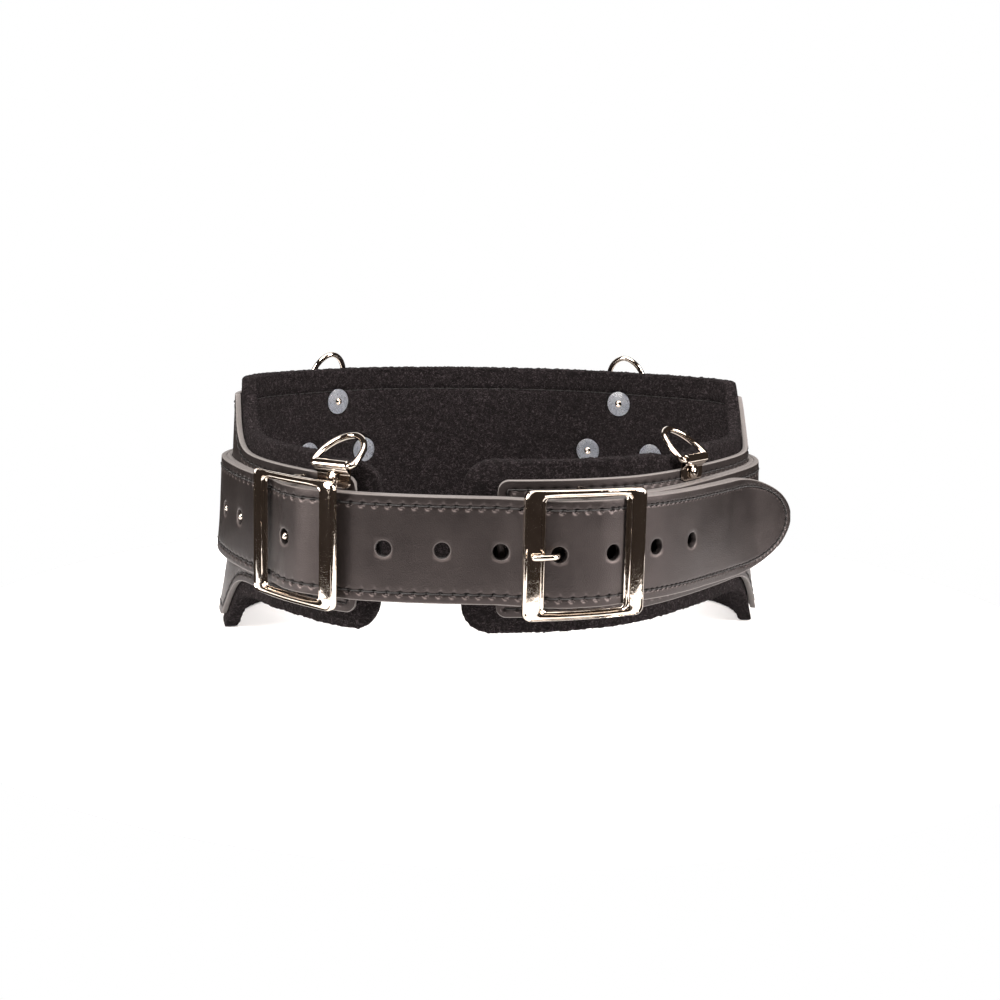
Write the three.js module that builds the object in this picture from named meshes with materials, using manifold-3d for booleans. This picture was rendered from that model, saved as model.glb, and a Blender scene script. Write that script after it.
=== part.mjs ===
// Padded leather tool belt, standing as a closed oval.
// Millimetres, +Z up, front of the belt towards -Y, wearer's waist around the Z axis.
// The belt is built outwards in layers from one plan curve, the outer face of the leather backing:
// felt pad and leather backing inside it, the strap, buckles and D-ring clips outside it.
import * as THREE from 'three';
import { mergeVertices } from 'three/addons/utils/BufferGeometryUtils.js';
import Module from 'manifold-3d';

const wasm = await Module();
wasm.setup();

// ---- plan of the belt: outer face of the leather backing, right side first, then back, then left ----
const PLAN = [
  [0, -167], [45, -161], [84, -147], [114, -126], [138, -103], [161, -79], [184, -52], [204, -24],
  [216, 2], [220.5, 31], [216, 59], [198, 86], [168, 114], [136, 140], [102, 162], [55, 177],
  [0, 181.5],
  [-55, 177], [-102, 162], [-136, 140], [-167, 113], [-194, 85], [-209, 57], [-214.5, 30],
  [-212, 6], [-205, -20], [-194, -50], [-179, -80], [-160, -108], [-141, -131], [-118, -149],
  [-88, -157], [-46, -163],
];

// ---- heights ----
const PAD_HEIGHT = 202;
const PAD_MIDDLE = PAD_HEIGHT / 2;
const PAD_FRONT_TOP = 161;
const PAD_FRONT_BOTTOM = 36.5;
const EDGE_INSET = 13;
const FOOT_INSET = 11;
const RING_PRESS = 3.5;
const STRAP_HALF = 38.1;
const FLARE = 0.045;
const FLARE_BELOW = 0.0009;

// ---- layers, measured outwards from the plan curve ----
const GAP = 0.35;
const BACKING_THICK = 4.5;
const FELT_THICK = 11;
const STRAP_THICK = 8.6;
const FELT_GAP = 0.8;
const FELT_OUTER = -BACKING_THICK - FELT_GAP;
const FELT_INNER = FELT_OUTER - FELT_THICK;

// ---- ends of the layers along the front, as distances from the front centre ----
const PAD_RIGHT_END = -42;
const PAD_LEFT_END = -100;
const BACKING_RIGHT_END = -17;
const BACKING_LEFT_END = -117;
const PAD_END_RADIUS = 21;
const BACKING_END_RADIUS = 8;
const CORNER_LENGTH = 18;
const FACETS_ROUND = 68;
const STATION_MERGE = 0.3;
const TOP_RIGHT_CORNER_AT = [220, 36];
const TOP_LEFT_CORNER_AT = [-212, 14];
const FOOT_RIGHT_AT = [217, 4];
const FOOT_LEFT_AT = [-211, 2];

// ---- strap holes and end ----
const HOLE_RADIUS = 5.7;
const HOLE_PITCH = 41;
const PRONG_HOLE_BEFORE = 18;
const TIP_LENGTH = 74;
const TIP_AT = 271;
const RISE_LEFT = 60;
const RISE_RIGHT = 44;
const FREE_END_FROM = 196;
const FREE_END_BEND = 290;

// ---- buckles ----
const BUCKLE_WIDTH = 91;
const BUCKLE_HEIGHT = 92;
const SIDE_BAR = 15.5;
const CROSS_BAR = 6.4;
const FRAME_THICK = 4.6;
const FRAME_BEVEL = 0.9;
const FRAME_CORNER = 6;
const FRAME_BOW = 260;
const BAR_RADIUS = 2.5;
const RIGHT_BUCKLE_AT = [39.1, -162.4];
const LEFT_BUCKLE_AT = [-149.3, -121.9];
const RIGHT_FRAME_OFFSET = 22.6;
const LEFT_FRAME_OFFSET = 16.2;
const RIGHT_BAR_OFFSET = 7.6;
const LEFT_BAR_OFFSET = 4.4;
const CHAPE_PLY = 4;
const PRONG_RADIUS = 2.3;
const PRONG_REACH = 39.5;
// The prong's way from its eye, behind the strap and up through the hole: along the belt, outwards.
const PRONG_BEHIND = [[3.4, 1.2], [12, 2.2], [17.4, 6], [19.6, 10.5], [21.4, 15]];
const BAR_BORE = BAR_RADIUS + 0.3;
const EYE_WALL = 1.9;
const EYE_LENGTH = 6;
const FOLD_TAIL = 30;
const FOLD_END_TURN = Math.PI * 0.62;
const SLOT_HEIGHT = 3 * PRONG_RADIUS + 2;
const RISE_OVER_BAR = 44;
const TIP_BLUNT = 24;
const TIP_END = 3;

// ---- D-rings and their clips ----
const WIRE_RADIUS = 2.3;
const RING_HALF = 17.6;
const RING_RISE = 32;
const RING_SWELL = 0.24;
const CLIP_WIDTH = 29;
const CLIP_SHEET = 1;
const CLIP_DROP = 16.2;
const RIVET_DROP = 10.2;
const LEFT_RING_AT = [-129, -141];
const RIGHT_RING_AT = [136.5, -104.5];
const FRONT_BAR_Z = 155.5;
const BACK_BAR_Z = 184;
const LEFT_RING_LEAN = 56;
const RIGHT_RING_LEAN = 51;
const BACK_RING_LEAN = 16;
const CLIP_BORE = WIRE_RADIUS + 0.3;
const CLIP_OUTER = CLIP_BORE + CLIP_SHEET;
const RING_OFFSET = GAP + CLIP_OUTER;

// ---- rivets, washers and studs ----
const SHANK = 1.9;
const DRILL = SHANK + 0.35;
const CAP_RADIUS = 5.4;
const STRAP_CAP_RADIUS = 5;
const TAIL_RADIUS = 3.1;
const WASHER_RADIUS = 11.2;
const WASHER_THICK = 1.2;
const WASHER_SIDES = 16;
const STUD_SIDES = 12;
const WASHER_SEAT = FELT_INNER + 1.6;
const WASHER_FACE = WASHER_SEAT - GAP - WASHER_THICK;
const STUD_FLANGE = 8;
const STUD_BALL = 2.9;
const STUD_SEAT = -2.3;
const STRAP_RIVET_Z = 128;

// ---- colours ----
const LEATHER = { color: 0x2b2725, roughness: 0.45, metalness: 0 };
const BACKING = { color: 0x241f1e, roughness: 0.55, metalness: 0 };
const FELT = { color: 0x17151a, roughness: 1, metalness: 0 };
const NICKEL = { color: 0xc9c4b8, roughness: 0.16, metalness: 1 };
const PLASTIC = { color: 0xb9c4dd, roughness: 0.3, metalness: 0 };

const group = new THREE.Group();
group.name = 'tool_belt';

// The plan curve: a closed smooth loop with its points looked up by distance from the front centre.
const loop = new THREE.CatmullRomCurve3(PLAN.map(([x, y]) => new THREE.Vector3(x, y, 0)), true, 'centripetal');
loop.arcLengthDivisions = 1200;
const LENGTH = loop.getLength();

function wrap(s) {
  return ((s % LENGTH) + LENGTH) % LENGTH;
}

// Place and directions on the plan curve at a distance along it.
function planAt(s) {
  const u = wrap(s) / LENGTH;
  const point = loop.getPointAt(u);
  const along = loop.getTangentAt(u).normalize();
  const out = new THREE.Vector3(along.y, -along.x, 0);
  return { point, along, out };
}

function nearest([x, y]) {
  let best = 0;
  let least = Infinity;
  for (let s = 0; s < LENGTH; s += 0.25) {
    const p = planAt(s).point;
    const d = Math.hypot(p.x - x, p.y - y);
    if (d < least) {
      least = d;
      best = s;
    }
  }
  return best;
}

function smooth(from, to, value) {
  const t = Math.min(1, Math.max(0, (value - from) / (to - from)));
  return t * t * (3 - 2 * t);
}

// The belt flares outwards towards its lower edge at the sides and back, and stands upright in front.
function flareAt(point, z) {
  const share = smooth(-160, -10, point.y);
  const below = PAD_MIDDLE - z;
  return share * below * (FLARE + FLARE_BELOW * Math.max(0, below));
}

// Point at a distance along the belt, an offset outwards from the backing and a height.
function beltPoint(s, offset, z) {
  const { point, out } = planAt(s);
  const outwards = offset + flareAt(point, z);
  return new THREE.Vector3(point.x + out.x * outwards, point.y + out.y * outwards, z);
}

// Frame of a rigid piece on the belt: X back along the belt, Y outwards, Z up the leaning face.
function beltFrame(s, offset, z) {
  const { point, out } = planAt(s);
  const lean = Math.atan((flareAt(point, z - 10) - flareAt(point, z + 10)) / 20);
  const outwards = out.clone().multiplyScalar(Math.cos(lean));
  outwards.z = Math.sin(lean);
  const up = out.clone().multiplyScalar(-Math.sin(lean));
  up.z = Math.cos(lean);
  const back = new THREE.Vector3().crossVectors(outwards, up);
  const matrix = new THREE.Matrix4().makeBasis(back, outwards, up);
  return matrix.setPosition(beltPoint(s, offset, z));
}

// ---- solids ----
function toSolid(geometry) {
  const bare = new THREE.BufferGeometry();
  bare.setAttribute('position', geometry.getAttribute('position'));
  if (geometry.index) {
    bare.setIndex(geometry.index);
  }
  const merged = mergeVertices(bare, 1e-4);
  const mesh = new wasm.Mesh({
    numProp: 3,
    vertProperties: new Float32Array(merged.getAttribute('position').array),
    triVerts: new Uint32Array(merged.index.array),
  });
  return new wasm.Manifold(mesh);
}

function toGeometry(solid) {
  const mesh = solid.getMesh();
  const geometry = new THREE.BufferGeometry();
  geometry.setAttribute('position', new THREE.BufferAttribute(new Float32Array(mesh.vertProperties), 3));
  geometry.setIndex(new THREE.BufferAttribute(new Uint32Array(mesh.triVerts), 1));
  const flat = geometry.toNonIndexed();
  flat.computeVertexNormals();
  return flat;
}

function add(name, solid, look) {
  const mesh = new THREE.Mesh(toGeometry(solid), new THREE.MeshStandardMaterial(look));
  mesh.name = name;
  group.add(mesh);
}

function moved(solid, matrix) {
  return solid.transform(matrix.elements.slice());
}

function rod(radius, length, sides) {
  const geometry = new THREE.CylinderGeometry(radius, radius, length, sides);
  return toSolid(geometry);
}

// A rod along the local outward direction, through the layers at one place on the belt.
function drill(radius, s, z, from, to, sides = 10) {
  return moved(rod(radius, to - from, sides).translate([0, (from + to) / 2, 0]), beltFrame(s, 0, z));
}

// A closed profile turned about the local outward direction; the profile is [radius, offset] pairs.
function turned(profile, s, z, sides = STUD_SIDES) {
  const points = profile.map(([r, o]) => new THREE.Vector2(r, o));
  points.push(points[0].clone());
  const solid = toSolid(new THREE.LatheGeometry(points, sides));
  return moved(solid, beltFrame(s, 0, z));
}

// A ribbon of the belt: one box cut into columns and wrapped onto the plan curve.
function ribbon(stations, inner, outer, bottom, top) {
  const rows = 3;
  const columns = stations.length - 1;
  const box = new THREE.BoxGeometry(1, 1, 1, columns, 1, rows);
  const position = box.getAttribute('position');
  for (let i = 0; i < position.count; i++) {
    const s = stations[Math.round((position.getX(i) + 0.5) * columns)];
    const offset = position.getY(i) > 0 ? inner(s) : outer(s);
    const heights = [bottom(s), (bottom(s) + PAD_MIDDLE) / 2, PAD_MIDDLE, top(s)];
    const z = heights[Math.round((position.getZ(i) + 0.5) * rows)];
    const p = beltPoint(s, offset, z);
    position.setXYZ(i, p.x, p.y, p.z);
  }
  return toSolid(box);
}

// Stations along a ribbon: those of the layer it lies on, so that their facets match, and its own
// closer ones at the named places.
function stationsFor(from, to, under, close) {
  const list = [from, to];
  for (const s of under) {
    list.push(s, s + LENGTH);
  }
  for (const [start, end, pieces] of close) {
    for (let i = 0; i <= pieces; i++) {
      list.push(start + ((end - start) * i) / pieces);
    }
  }
  const sorted = list.filter((s) => s >= from && s <= to).sort((a, b) => a - b);
  return sorted.filter((s, i) => i === 0 || s - sorted[i - 1] > STATION_MERGE);
}

// How far the edge of a rounded end is drawn in at a distance from that end.
function endRound(distance, radius) {
  if (distance >= radius) {
    return 0;
  }
  const along = radius - Math.max(0, distance);
  return radius - Math.sqrt(Math.max(0, radius * radius - along * along));
}

// ---- felt pad and leather backing ----
const FRONT_RINGS = [nearest(LEFT_RING_AT), nearest(RIGHT_RING_AT)];
const topRight = nearest(TOP_RIGHT_CORNER_AT);
const topLeft = nearest(TOP_LEFT_CORNER_AT);
const footRight = nearest(FOOT_RIGHT_AT);
const footLeft = nearest(FOOT_LEFT_AT);

// 0 along the deep back, 1 along the shallower front.
function shallow(s, right, left) {
  const ahead = Math.max(right - s, s - left, 0);
  return 1 - Math.exp(-Math.pow(ahead / CORNER_LENGTH, 1.3));
}

const EVEN_STATIONS = [];
for (let i = -8; i < FACETS_ROUND; i++) {
  EVEN_STATIONS.push((i * LENGTH) / FACETS_ROUND);
}

const CORNER_STATIONS = [
  [topRight - 40, topRight, 6], [topLeft, topLeft + 40, 6],
  [footRight - 40, footRight, 6], [footLeft, footLeft + 40, 6],
];

function endStations(rightEnd, leftEnd, radius) {
  return [[rightEnd, rightEnd + radius, 6], [LENGTH + leftEnd - radius, LENGTH + leftEnd, 6]];
}

const PAD_STATIONS = stationsFor(PAD_RIGHT_END, LENGTH + PAD_LEFT_END, EVEN_STATIONS,
  [...CORNER_STATIONS, ...endStations(PAD_RIGHT_END, PAD_LEFT_END, PAD_END_RADIUS)]);
const BACKING_STATIONS = stationsFor(BACKING_RIGHT_END, LENGTH + BACKING_LEFT_END, PAD_STATIONS,
  endStations(BACKING_RIGHT_END, BACKING_LEFT_END, BACKING_END_RADIUS));

// The felt edge is pressed down where a front D-ring lies over it.
function pressed(s) {
  const away = Math.min(...FRONT_RINGS.map((at) => Math.abs(wrap(s - at + LENGTH / 2) - LENGTH / 2)));
  return RING_PRESS * (1 - smooth(20, 36, away));
}

function layer(stations, inset, footInset, press, radius, inner, outer) {
  const from = stations[0];
  const to = stations[stations.length - 1];
  const drawnIn = (s) => endRound(Math.min(s - from, to - s), radius);
  const topDrop = PAD_HEIGHT - PAD_FRONT_TOP;
  const top = (s) => PAD_HEIGHT - topDrop * shallow(s, topRight, topLeft) - inset - press(s) - drawnIn(s);
  const bottom = (s) => {
    const front = shallow(s, footRight, footLeft);
    return PAD_FRONT_BOTTOM * front + inset + footInset * (1 - front) + drawnIn(s);
  };
  return ribbon(stations, () => inner, () => outer, bottom, top);
}

function feltPad() {
  return layer(PAD_STATIONS, 0, 0, pressed, PAD_END_RADIUS, FELT_INNER, FELT_OUTER);
}

function leatherBacking() {
  return layer(BACKING_STATIONS, EDGE_INSET, FOOT_INSET, () => 0, BACKING_END_RADIUS, -BACKING_THICK, 0);
}

// ---- strap ----
const rightBuckle = nearest(RIGHT_BUCKLE_AT);
const leftBuckle = nearest(LEFT_BUCKLE_AT);
const STRAP_FROM = rightBuckle + 14;
const OVER_BUCKLE = LENGTH + rightBuckle;
const STRAP_TO = LENGTH + TIP_AT;
const CHAPE_RADIUS = BAR_RADIUS + 0.3 + CHAPE_PLY;

function strapMiddle(s) {
  const front = smooth(leftBuckle - 60, leftBuckle + 120, s);
  const tip = smooth(OVER_BUCKLE, STRAP_TO, s);
  const start = 1 - smooth(STRAP_FROM, STRAP_FROM + 160, s);
  return PAD_MIDDLE - 2 * front - 1.5 * tip - 2 * start;
}

// Offset of the strap's inner face: it lies on the backing, rises over the hidden bar of each
// buckle, lies over its own other end on the right side, and its free end stands off straight.
function strapInner(s) {
  const overLeftBar = LEFT_BAR_OFFSET + BAR_RADIUS + GAP;
  const overRightBar = RIGHT_BAR_OFFSET + CHAPE_RADIUS + GAP;
  const overStrap = STRAP_THICK + 2 * GAP;
  const left = (overLeftBar - GAP) * (1 - smooth(4, 40, Math.abs(s - leftBuckle)));
  let right = (overRightBar - GAP) * smooth(OVER_BUCKLE - RISE_LEFT, OVER_BUCKLE - 8, s);
  right -= (overRightBar - overStrap) * smooth(OVER_BUCKLE + 8, OVER_BUCKLE + RISE_RIGHT, s);
  const free = Math.max(0, s - LENGTH - FREE_END_FROM);
  return GAP + left + right + (free * free) / FREE_END_BEND;
}

function strapHalf(s) {
  const ahead = STRAP_TO - s;
  if (ahead >= TIP_LENGTH) {
    return STRAP_HALF;
  }
  const along = 1 - Math.max(0.004, ahead / TIP_LENGTH);
  return STRAP_HALF * Math.sqrt(1 - along * along);
}

// Holes run at one pitch measured along the strap itself, counted from the one the prong sits in.
const PRONG_HOLE = OVER_BUCKLE - PRONG_HOLE_BEFORE;

function holeAt(count) {
  const step = count < 0 ? -0.5 : 0.5;
  let s = PRONG_HOLE;
  let travelled = 0;
  while (travelled < Math.abs(count) * HOLE_PITCH) {
    const here = beltPoint(s, strapInner(s) + STRAP_THICK, PAD_MIDDLE);
    s += step;
    travelled += here.distanceTo(beltPoint(s, strapInner(s) + STRAP_THICK, PAD_MIDDLE));
  }
  return s;
}

const HOLE_COUNTS = [-8, -7, -6, -5, -4, -3, -2, -1, 0, 1, 2, 3];
const STUD_COUNTS = [-8, -7, -5];
const HOLES = HOLE_COUNTS.map(holeAt);
const STUD_HOLES = STUD_COUNTS.map(holeAt);

function strapRibbon() {
  const own = [
    [leftBuckle - RISE_OVER_BAR, leftBuckle + RISE_OVER_BAR, 12],
    [OVER_BUCKLE - RISE_LEFT, OVER_BUCKLE + RISE_RIGHT, 14],
    [STRAP_TO - TIP_LENGTH, STRAP_TO - TIP_BLUNT, 6],
    [STRAP_TO - TIP_BLUNT, STRAP_TO - TIP_END, 6],
  ];
  const under = [...EVEN_STATIONS, ...BACKING_STATIONS];
  const stations = stationsFor(STRAP_FROM, STRAP_TO, under, own);
  const outer = (s) => strapInner(s) + STRAP_THICK;
  const bottom = (s) => strapMiddle(s) - strapHalf(s);
  const top = (s) => strapMiddle(s) + strapHalf(s);
  return ribbon(stations, strapInner, outer, bottom, top);
}

// The folded start of the strap: a leather loop round the right buckle's bar, slotted for the prong.
function strapFold() {
  const section = new THREE.Shape();
  section.moveTo(-FOLD_TAIL, GAP + STRAP_THICK - RIGHT_BAR_OFFSET);
  section.lineTo(-FOLD_TAIL, GAP - RIGHT_BAR_OFFSET);
  section.absarc(0, 0, CHAPE_RADIUS, -Math.PI / 2, FOLD_END_TURN, false);
  section.closePath();
  const bore = new THREE.Path();
  bore.absarc(0, 0, BAR_BORE, 0, 2 * Math.PI, true);
  section.holes.push(bore);
  const across = { depth: 2 * STRAP_HALF, bevelEnabled: false, curveSegments: 12 };
  const body = new THREE.ExtrudeGeometry(section, across);
  body.translate(0, 0, -STRAP_HALF);
  const slot = new THREE.BoxGeometry(2 * CHAPE_RADIUS + 2, 4 * CHAPE_RADIUS, SLOT_HEIGHT);
  slot.translate(CHAPE_RADIUS - CHAPE_PLY, 0, 0);
  const loopSolid = toSolid(body).subtract(toSolid(slot));
  return moved(loopSolid, beltFrame(rightBuckle, RIGHT_BAR_OFFSET, strapMiddle(STRAP_FROM)));
}

function strap() {
  let solid = strapRibbon().add(strapFold());
  for (const s of HOLES) {
    const inner = strapInner(s);
    solid = solid.subtract(drill(HOLE_RADIUS, s, strapMiddle(s), inner - 3, inner + STRAP_THICK + 3, 16));
  }
  return solid;
}

// ---- buckles ----
function roundedOutline(path, width, height, radius, clockwise) {
  const corners = [[1, -1, -90], [1, 1, 0], [-1, 1, 90], [-1, -1, 180]];
  const points = [];
  for (const [sx, sy, start] of corners) {
    const cx = sx * (width / 2 - radius);
    const cy = sy * (height / 2 - radius);
    for (let i = 0; i <= 3; i++) {
      const a = ((start + 30 * i) * Math.PI) / 180;
      points.push(new THREE.Vector2(cx + radius * Math.cos(a), cy + radius * Math.sin(a)));
    }
  }
  const full = [];
  for (let i = 0; i < points.length; i++) {
    const p = points[i];
    const q = points[(i + 1) % points.length];
    const pieces = Math.max(1, Math.round(Math.abs(q.x - p.x) / 12));
    for (let k = 0; k < pieces; k++) {
      full.push(p.clone().lerp(q, k / pieces));
    }
  }
  path.setFromPoints(clockwise ? full.reverse() : full);
  return path;
}

// The frame is a bevelled rounded square with a square window, bowed to the belt; its middle bar is
// carried on two lugs behind the frame so that the strap can pass over it.
function buckleFrame(drop) {
  const width = BUCKLE_WIDTH - 2 * FRAME_BEVEL;
  const height = BUCKLE_HEIGHT - 2 * FRAME_BEVEL;
  const shape = roundedOutline(new THREE.Shape(), width, height, FRAME_CORNER - FRAME_BEVEL, false);
  const inWidth = BUCKLE_WIDTH - 2 * SIDE_BAR + 2 * FRAME_BEVEL;
  const inHeight = BUCKLE_HEIGHT - 2 * CROSS_BAR + 2 * FRAME_BEVEL;
  shape.holes.push(roundedOutline(new THREE.Path(), inWidth, inHeight, 2.4, true));
  const frame = new THREE.ExtrudeGeometry(shape, {
    depth: FRAME_THICK - 2 * FRAME_BEVEL,
    bevelThickness: FRAME_BEVEL,
    bevelSize: FRAME_BEVEL,
    bevelSegments: 1,
  });
  frame.translate(0, 0, -(FRAME_THICK - 2 * FRAME_BEVEL) / 2);
  const position = frame.getAttribute('position');
  for (let i = 0; i < position.count; i++) {
    const x = position.getX(i);
    const y = position.getY(i);
    const z = position.getZ(i) - (x * x) / (2 * FRAME_BOW);
    position.setXYZ(i, -x, z, y);
  }
  let solid = toSolid(frame);
  const lugTop = BUCKLE_HEIGHT / 2 - FRAME_BEVEL;
  const lugFoot = BUCKLE_HEIGHT / 2 - CROSS_BAR + 0.6;
  for (const side of [1, -1]) {
    const lug = new THREE.BoxGeometry(6, drop + BAR_RADIUS, lugTop - lugFoot);
    lug.translate(0, -(drop + BAR_RADIUS) / 2, (side * (lugTop + lugFoot)) / 2);
    solid = solid.add(toSolid(lug));
  }
  const bar = new THREE.CylinderGeometry(BAR_RADIUS, BAR_RADIUS, 2 * lugTop - 2, 16);
  bar.rotateX(Math.PI / 2);
  bar.translate(0, -drop, 0);
  return solid.add(toSolid(bar));
}

function placedBuckle(s, frameOffset, barOffset, z) {
  return moved(buckleFrame(frameOffset - barOffset), beltFrame(s, frameOffset, z));
}

// The prong: an eye round the bar and a bent finger that comes out through the strap and lies on the
// buckle's left bar.
function prong() {
  const barZ = strapMiddle(OVER_BUCKLE);
  const eyeShape = new THREE.Shape();
  eyeShape.absarc(0, 0, BAR_BORE + EYE_WALL, 0, 2 * Math.PI, false);
  const bore = new THREE.Path();
  bore.absarc(0, 0, BAR_BORE, 0, 2 * Math.PI, true);
  eyeShape.holes.push(bore);
  const along = { depth: EYE_LENGTH, bevelEnabled: false, curveSegments: 12 };
  const eye = new THREE.ExtrudeGeometry(eyeShape, along);
  eye.translate(0, 0, -EYE_LENGTH / 2);
  const over = RIGHT_FRAME_OFFSET - RIGHT_BAR_OFFSET + FRAME_THICK / 2;
  const tipRise = over + 0.2;
  const route = [...PRONG_BEHIND, [25, over + 1.2], [31.5, over + 1.7], [PRONG_REACH, tipRise]];
  const finger = new THREE.CatmullRomCurve3(route.map(([x, y]) => new THREE.Vector3(x, y, 0)));
  const ring = new THREE.Shape();
  ring.absarc(0, 0, PRONG_RADIUS, 0, 2 * Math.PI, false);
  const tube = new THREE.ExtrudeGeometry(ring, { steps: 14, extrudePath: finger, curveSegments: 5 });
  const tip = new THREE.SphereGeometry(PRONG_RADIUS, 10, 6);
  tip.translate(PRONG_REACH, tipRise, 0);
  const solid = toSolid(eye).add(toSolid(tube)).add(toSolid(tip));
  const bar = new THREE.CylinderGeometry(BAR_BORE, BAR_BORE, 2 * EYE_LENGTH, 24);
  bar.rotateX(Math.PI / 2);
  return moved(solid.subtract(toSolid(bar)), beltFrame(rightBuckle, RIGHT_BAR_OFFSET, barZ));
}

// ---- D-rings ----
class RingPath extends THREE.Curve {
  getPoint(t, target = new THREE.Vector3()) {
    const straight = 2 * RING_HALF;
    const arch = Math.PI * Math.sqrt((RING_HALF * RING_HALF + RING_RISE * RING_RISE) / 2);
    const share = straight / (straight + arch);
    if (t < share) {
      return target.set(-RING_HALF + (straight * t) / share, 0, 0);
    }
    const a = (Math.PI * (t - share)) / (1 - share);
    const widen = 1 + RING_SWELL * Math.sin(a) * Math.abs(Math.cos(a));
    return target.set(RING_HALF * Math.cos(a) * widen, 0, RING_RISE * Math.sin(a));
  }
}

function dRing(s, barZ, lean) {
  const tube = new THREE.TubeGeometry(new RingPath(), 32, WIRE_RADIUS, 8, true);
  tube.rotateX((lean * Math.PI) / 180);
  return moved(toSolid(tube), beltFrame(s, RING_OFFSET, barZ));
}

// Folded sheet clip: a round fold over the ring's straight side and a doubled leg riveted below it.
function ringClip(s, barZ) {
  const shape = new THREE.Shape();
  const legFace = 2 * CLIP_SHEET - CLIP_OUTER;
  shape.moveTo(-CLIP_OUTER, -CLIP_DROP);
  shape.lineTo(legFace, -CLIP_DROP);
  shape.lineTo(legFace, -Math.sqrt(CLIP_OUTER ** 2 - legFace ** 2));
  const start = Math.atan2(-Math.sqrt(CLIP_OUTER ** 2 - legFace ** 2), legFace);
  shape.absarc(0, 0, CLIP_OUTER, start, Math.PI, false);
  shape.closePath();
  const bore = new THREE.Path();
  bore.absarc(0, 0, CLIP_BORE, 0, 2 * Math.PI, true);
  shape.holes.push(bore);
  const across = { depth: CLIP_WIDTH, bevelEnabled: false, curveSegments: 8 };
  const sheet = new THREE.ExtrudeGeometry(shape, across);
  sheet.translate(0, 0, -CLIP_WIDTH / 2);
  const turn = new THREE.Matrix4().makeBasis(
    new THREE.Vector3(0, 1, 0), new THREE.Vector3(0, 0, 1), new THREE.Vector3(1, 0, 0));
  sheet.applyMatrix4(turn);
  const hole = new THREE.CylinderGeometry(DRILL, DRILL, 12, 20);
  hole.translate(0, -CLIP_OUTER, -RIVET_DROP);
  return moved(toSolid(sheet).subtract(toSolid(hole)), beltFrame(s, RING_OFFSET, barZ));
}

// ---- rivets, washers, studs ----
function rivetProfile(seat, capRadius, capHeight) {
  const tail = WASHER_FACE - GAP;
  return [
    [0, seat + capHeight], [0, tail - 1.7], [TAIL_RADIUS * 0.6, tail - 1.5],
    [TAIL_RADIUS, tail - 0.6], [TAIL_RADIUS, tail], [SHANK, tail],
    [SHANK, seat], [capRadius, seat], [capRadius, seat + capHeight * 0.3],
    [capRadius * 0.72, seat + capHeight * 0.62], [capRadius * 0.55, seat + capHeight * 0.66],
    [capRadius * 0.38, seat + capHeight * 0.95],
  ];
}

function rivet(s, z, seat, capRadius, capHeight) {
  return turned(rivetProfile(seat, capRadius, capHeight), s, z);
}

function washer(s, z) {
  const seat = WASHER_SEAT - GAP;
  const profile = [[DRILL, WASHER_FACE], [DRILL, seat], [WASHER_RADIUS, seat], [WASHER_RADIUS, WASHER_FACE]];
  return turned(profile.reverse(), s, z, WASHER_SIDES);
}

function stud(s) {
  const strapFace = strapInner(s) + STRAP_THICK;
  const ball = strapFace - STUD_BALL + 0.6;
  const profile = [
    [0, ball + STUD_BALL], [0, STUD_SEAT], [STUD_FLANGE, STUD_SEAT],
    [STUD_FLANGE, -GAP], [SHANK, -GAP],
  ];
  const neck = Math.asin(SHANK / STUD_BALL);
  for (let i = 0; i <= 4; i++) {
    const a = Math.PI - neck - ((Math.PI - neck) * i) / 5;
    profile.push([STUD_BALL * Math.sin(a), ball + STUD_BALL * Math.cos(a)]);
  }
  return turned(profile, s, strapMiddle(s));
}

function studPocket(s) {
  return drill(STUD_FLANGE + GAP, s, strapMiddle(s), STUD_SEAT - GAP, 3, STUD_SIDES);
}

// ---- assembly ----
const RINGS = [
  { name: 'front_left', at: LEFT_RING_AT, z: FRONT_BAR_Z, lean: LEFT_RING_LEAN },
  { name: 'front_right', at: RIGHT_RING_AT, z: FRONT_BAR_Z, lean: RIGHT_RING_LEAN },
  { name: 'back_right', at: [137, 135], z: BACK_BAR_Z, lean: BACK_RING_LEAN },
  { name: 'back_left', at: [-137, 135], z: BACK_BAR_Z, lean: BACK_RING_LEAN },
].map((ring) => ({ ...ring, s: nearest(ring.at) }));

const STRAP_RIVETS = [
  { name: 'back_right_inner', at: [112, 155] }, { name: 'back_right_outer', at: [162, 112] },
  { name: 'back_left_inner', at: [-112, 155] }, { name: 'back_left_outer', at: [-162, 112] },
].map((place) => ({ ...place, s: nearest(place.at) }));

const shanks = [
  ...RINGS.map(({ s, z }) => [s, z - RIVET_DROP]),
  ...STRAP_RIVETS.map(({ s }) => [s, STRAP_RIVET_Z]),
];

function drilled(solid) {
  return shanks.reduce((left, [s, z]) => left.subtract(drill(DRILL, s, z, FELT_INNER - 4, 12)), solid);
}

// The felt is pressed in under each washer.
function dimpled(solid) {
  const radius = WASHER_RADIUS + GAP;
  const dimple = (s, z) => drill(radius, s, z, WASHER_SEAT - 8, WASHER_SEAT, WASHER_SIDES);
  return shanks.reduce((left, [s, z]) => left.subtract(dimple(s, z)), solid);
}

add('felt_pad', dimpled(drilled(feltPad())), FELT);
const pocketed = (solid) => STUD_HOLES.reduce((left, s) => left.subtract(studPocket(s)), solid);
add('leather_backing', pocketed(drilled(leatherBacking())), BACKING);
add('belt_strap', drilled(strap()), LEATHER);

add('right_buckle_frame', placedBuckle(rightBuckle, RIGHT_FRAME_OFFSET, RIGHT_BAR_OFFSET,
  strapMiddle(OVER_BUCKLE)), NICKEL);
add('right_buckle_prong', prong(), NICKEL);
add('left_buckle_frame', placedBuckle(leftBuckle, LEFT_FRAME_OFFSET, LEFT_BAR_OFFSET,
  strapMiddle(leftBuckle)), NICKEL);
STUD_HOLES.forEach((s, i) => add(`left_stud_${i + 1}`, stud(s), NICKEL));

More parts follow.
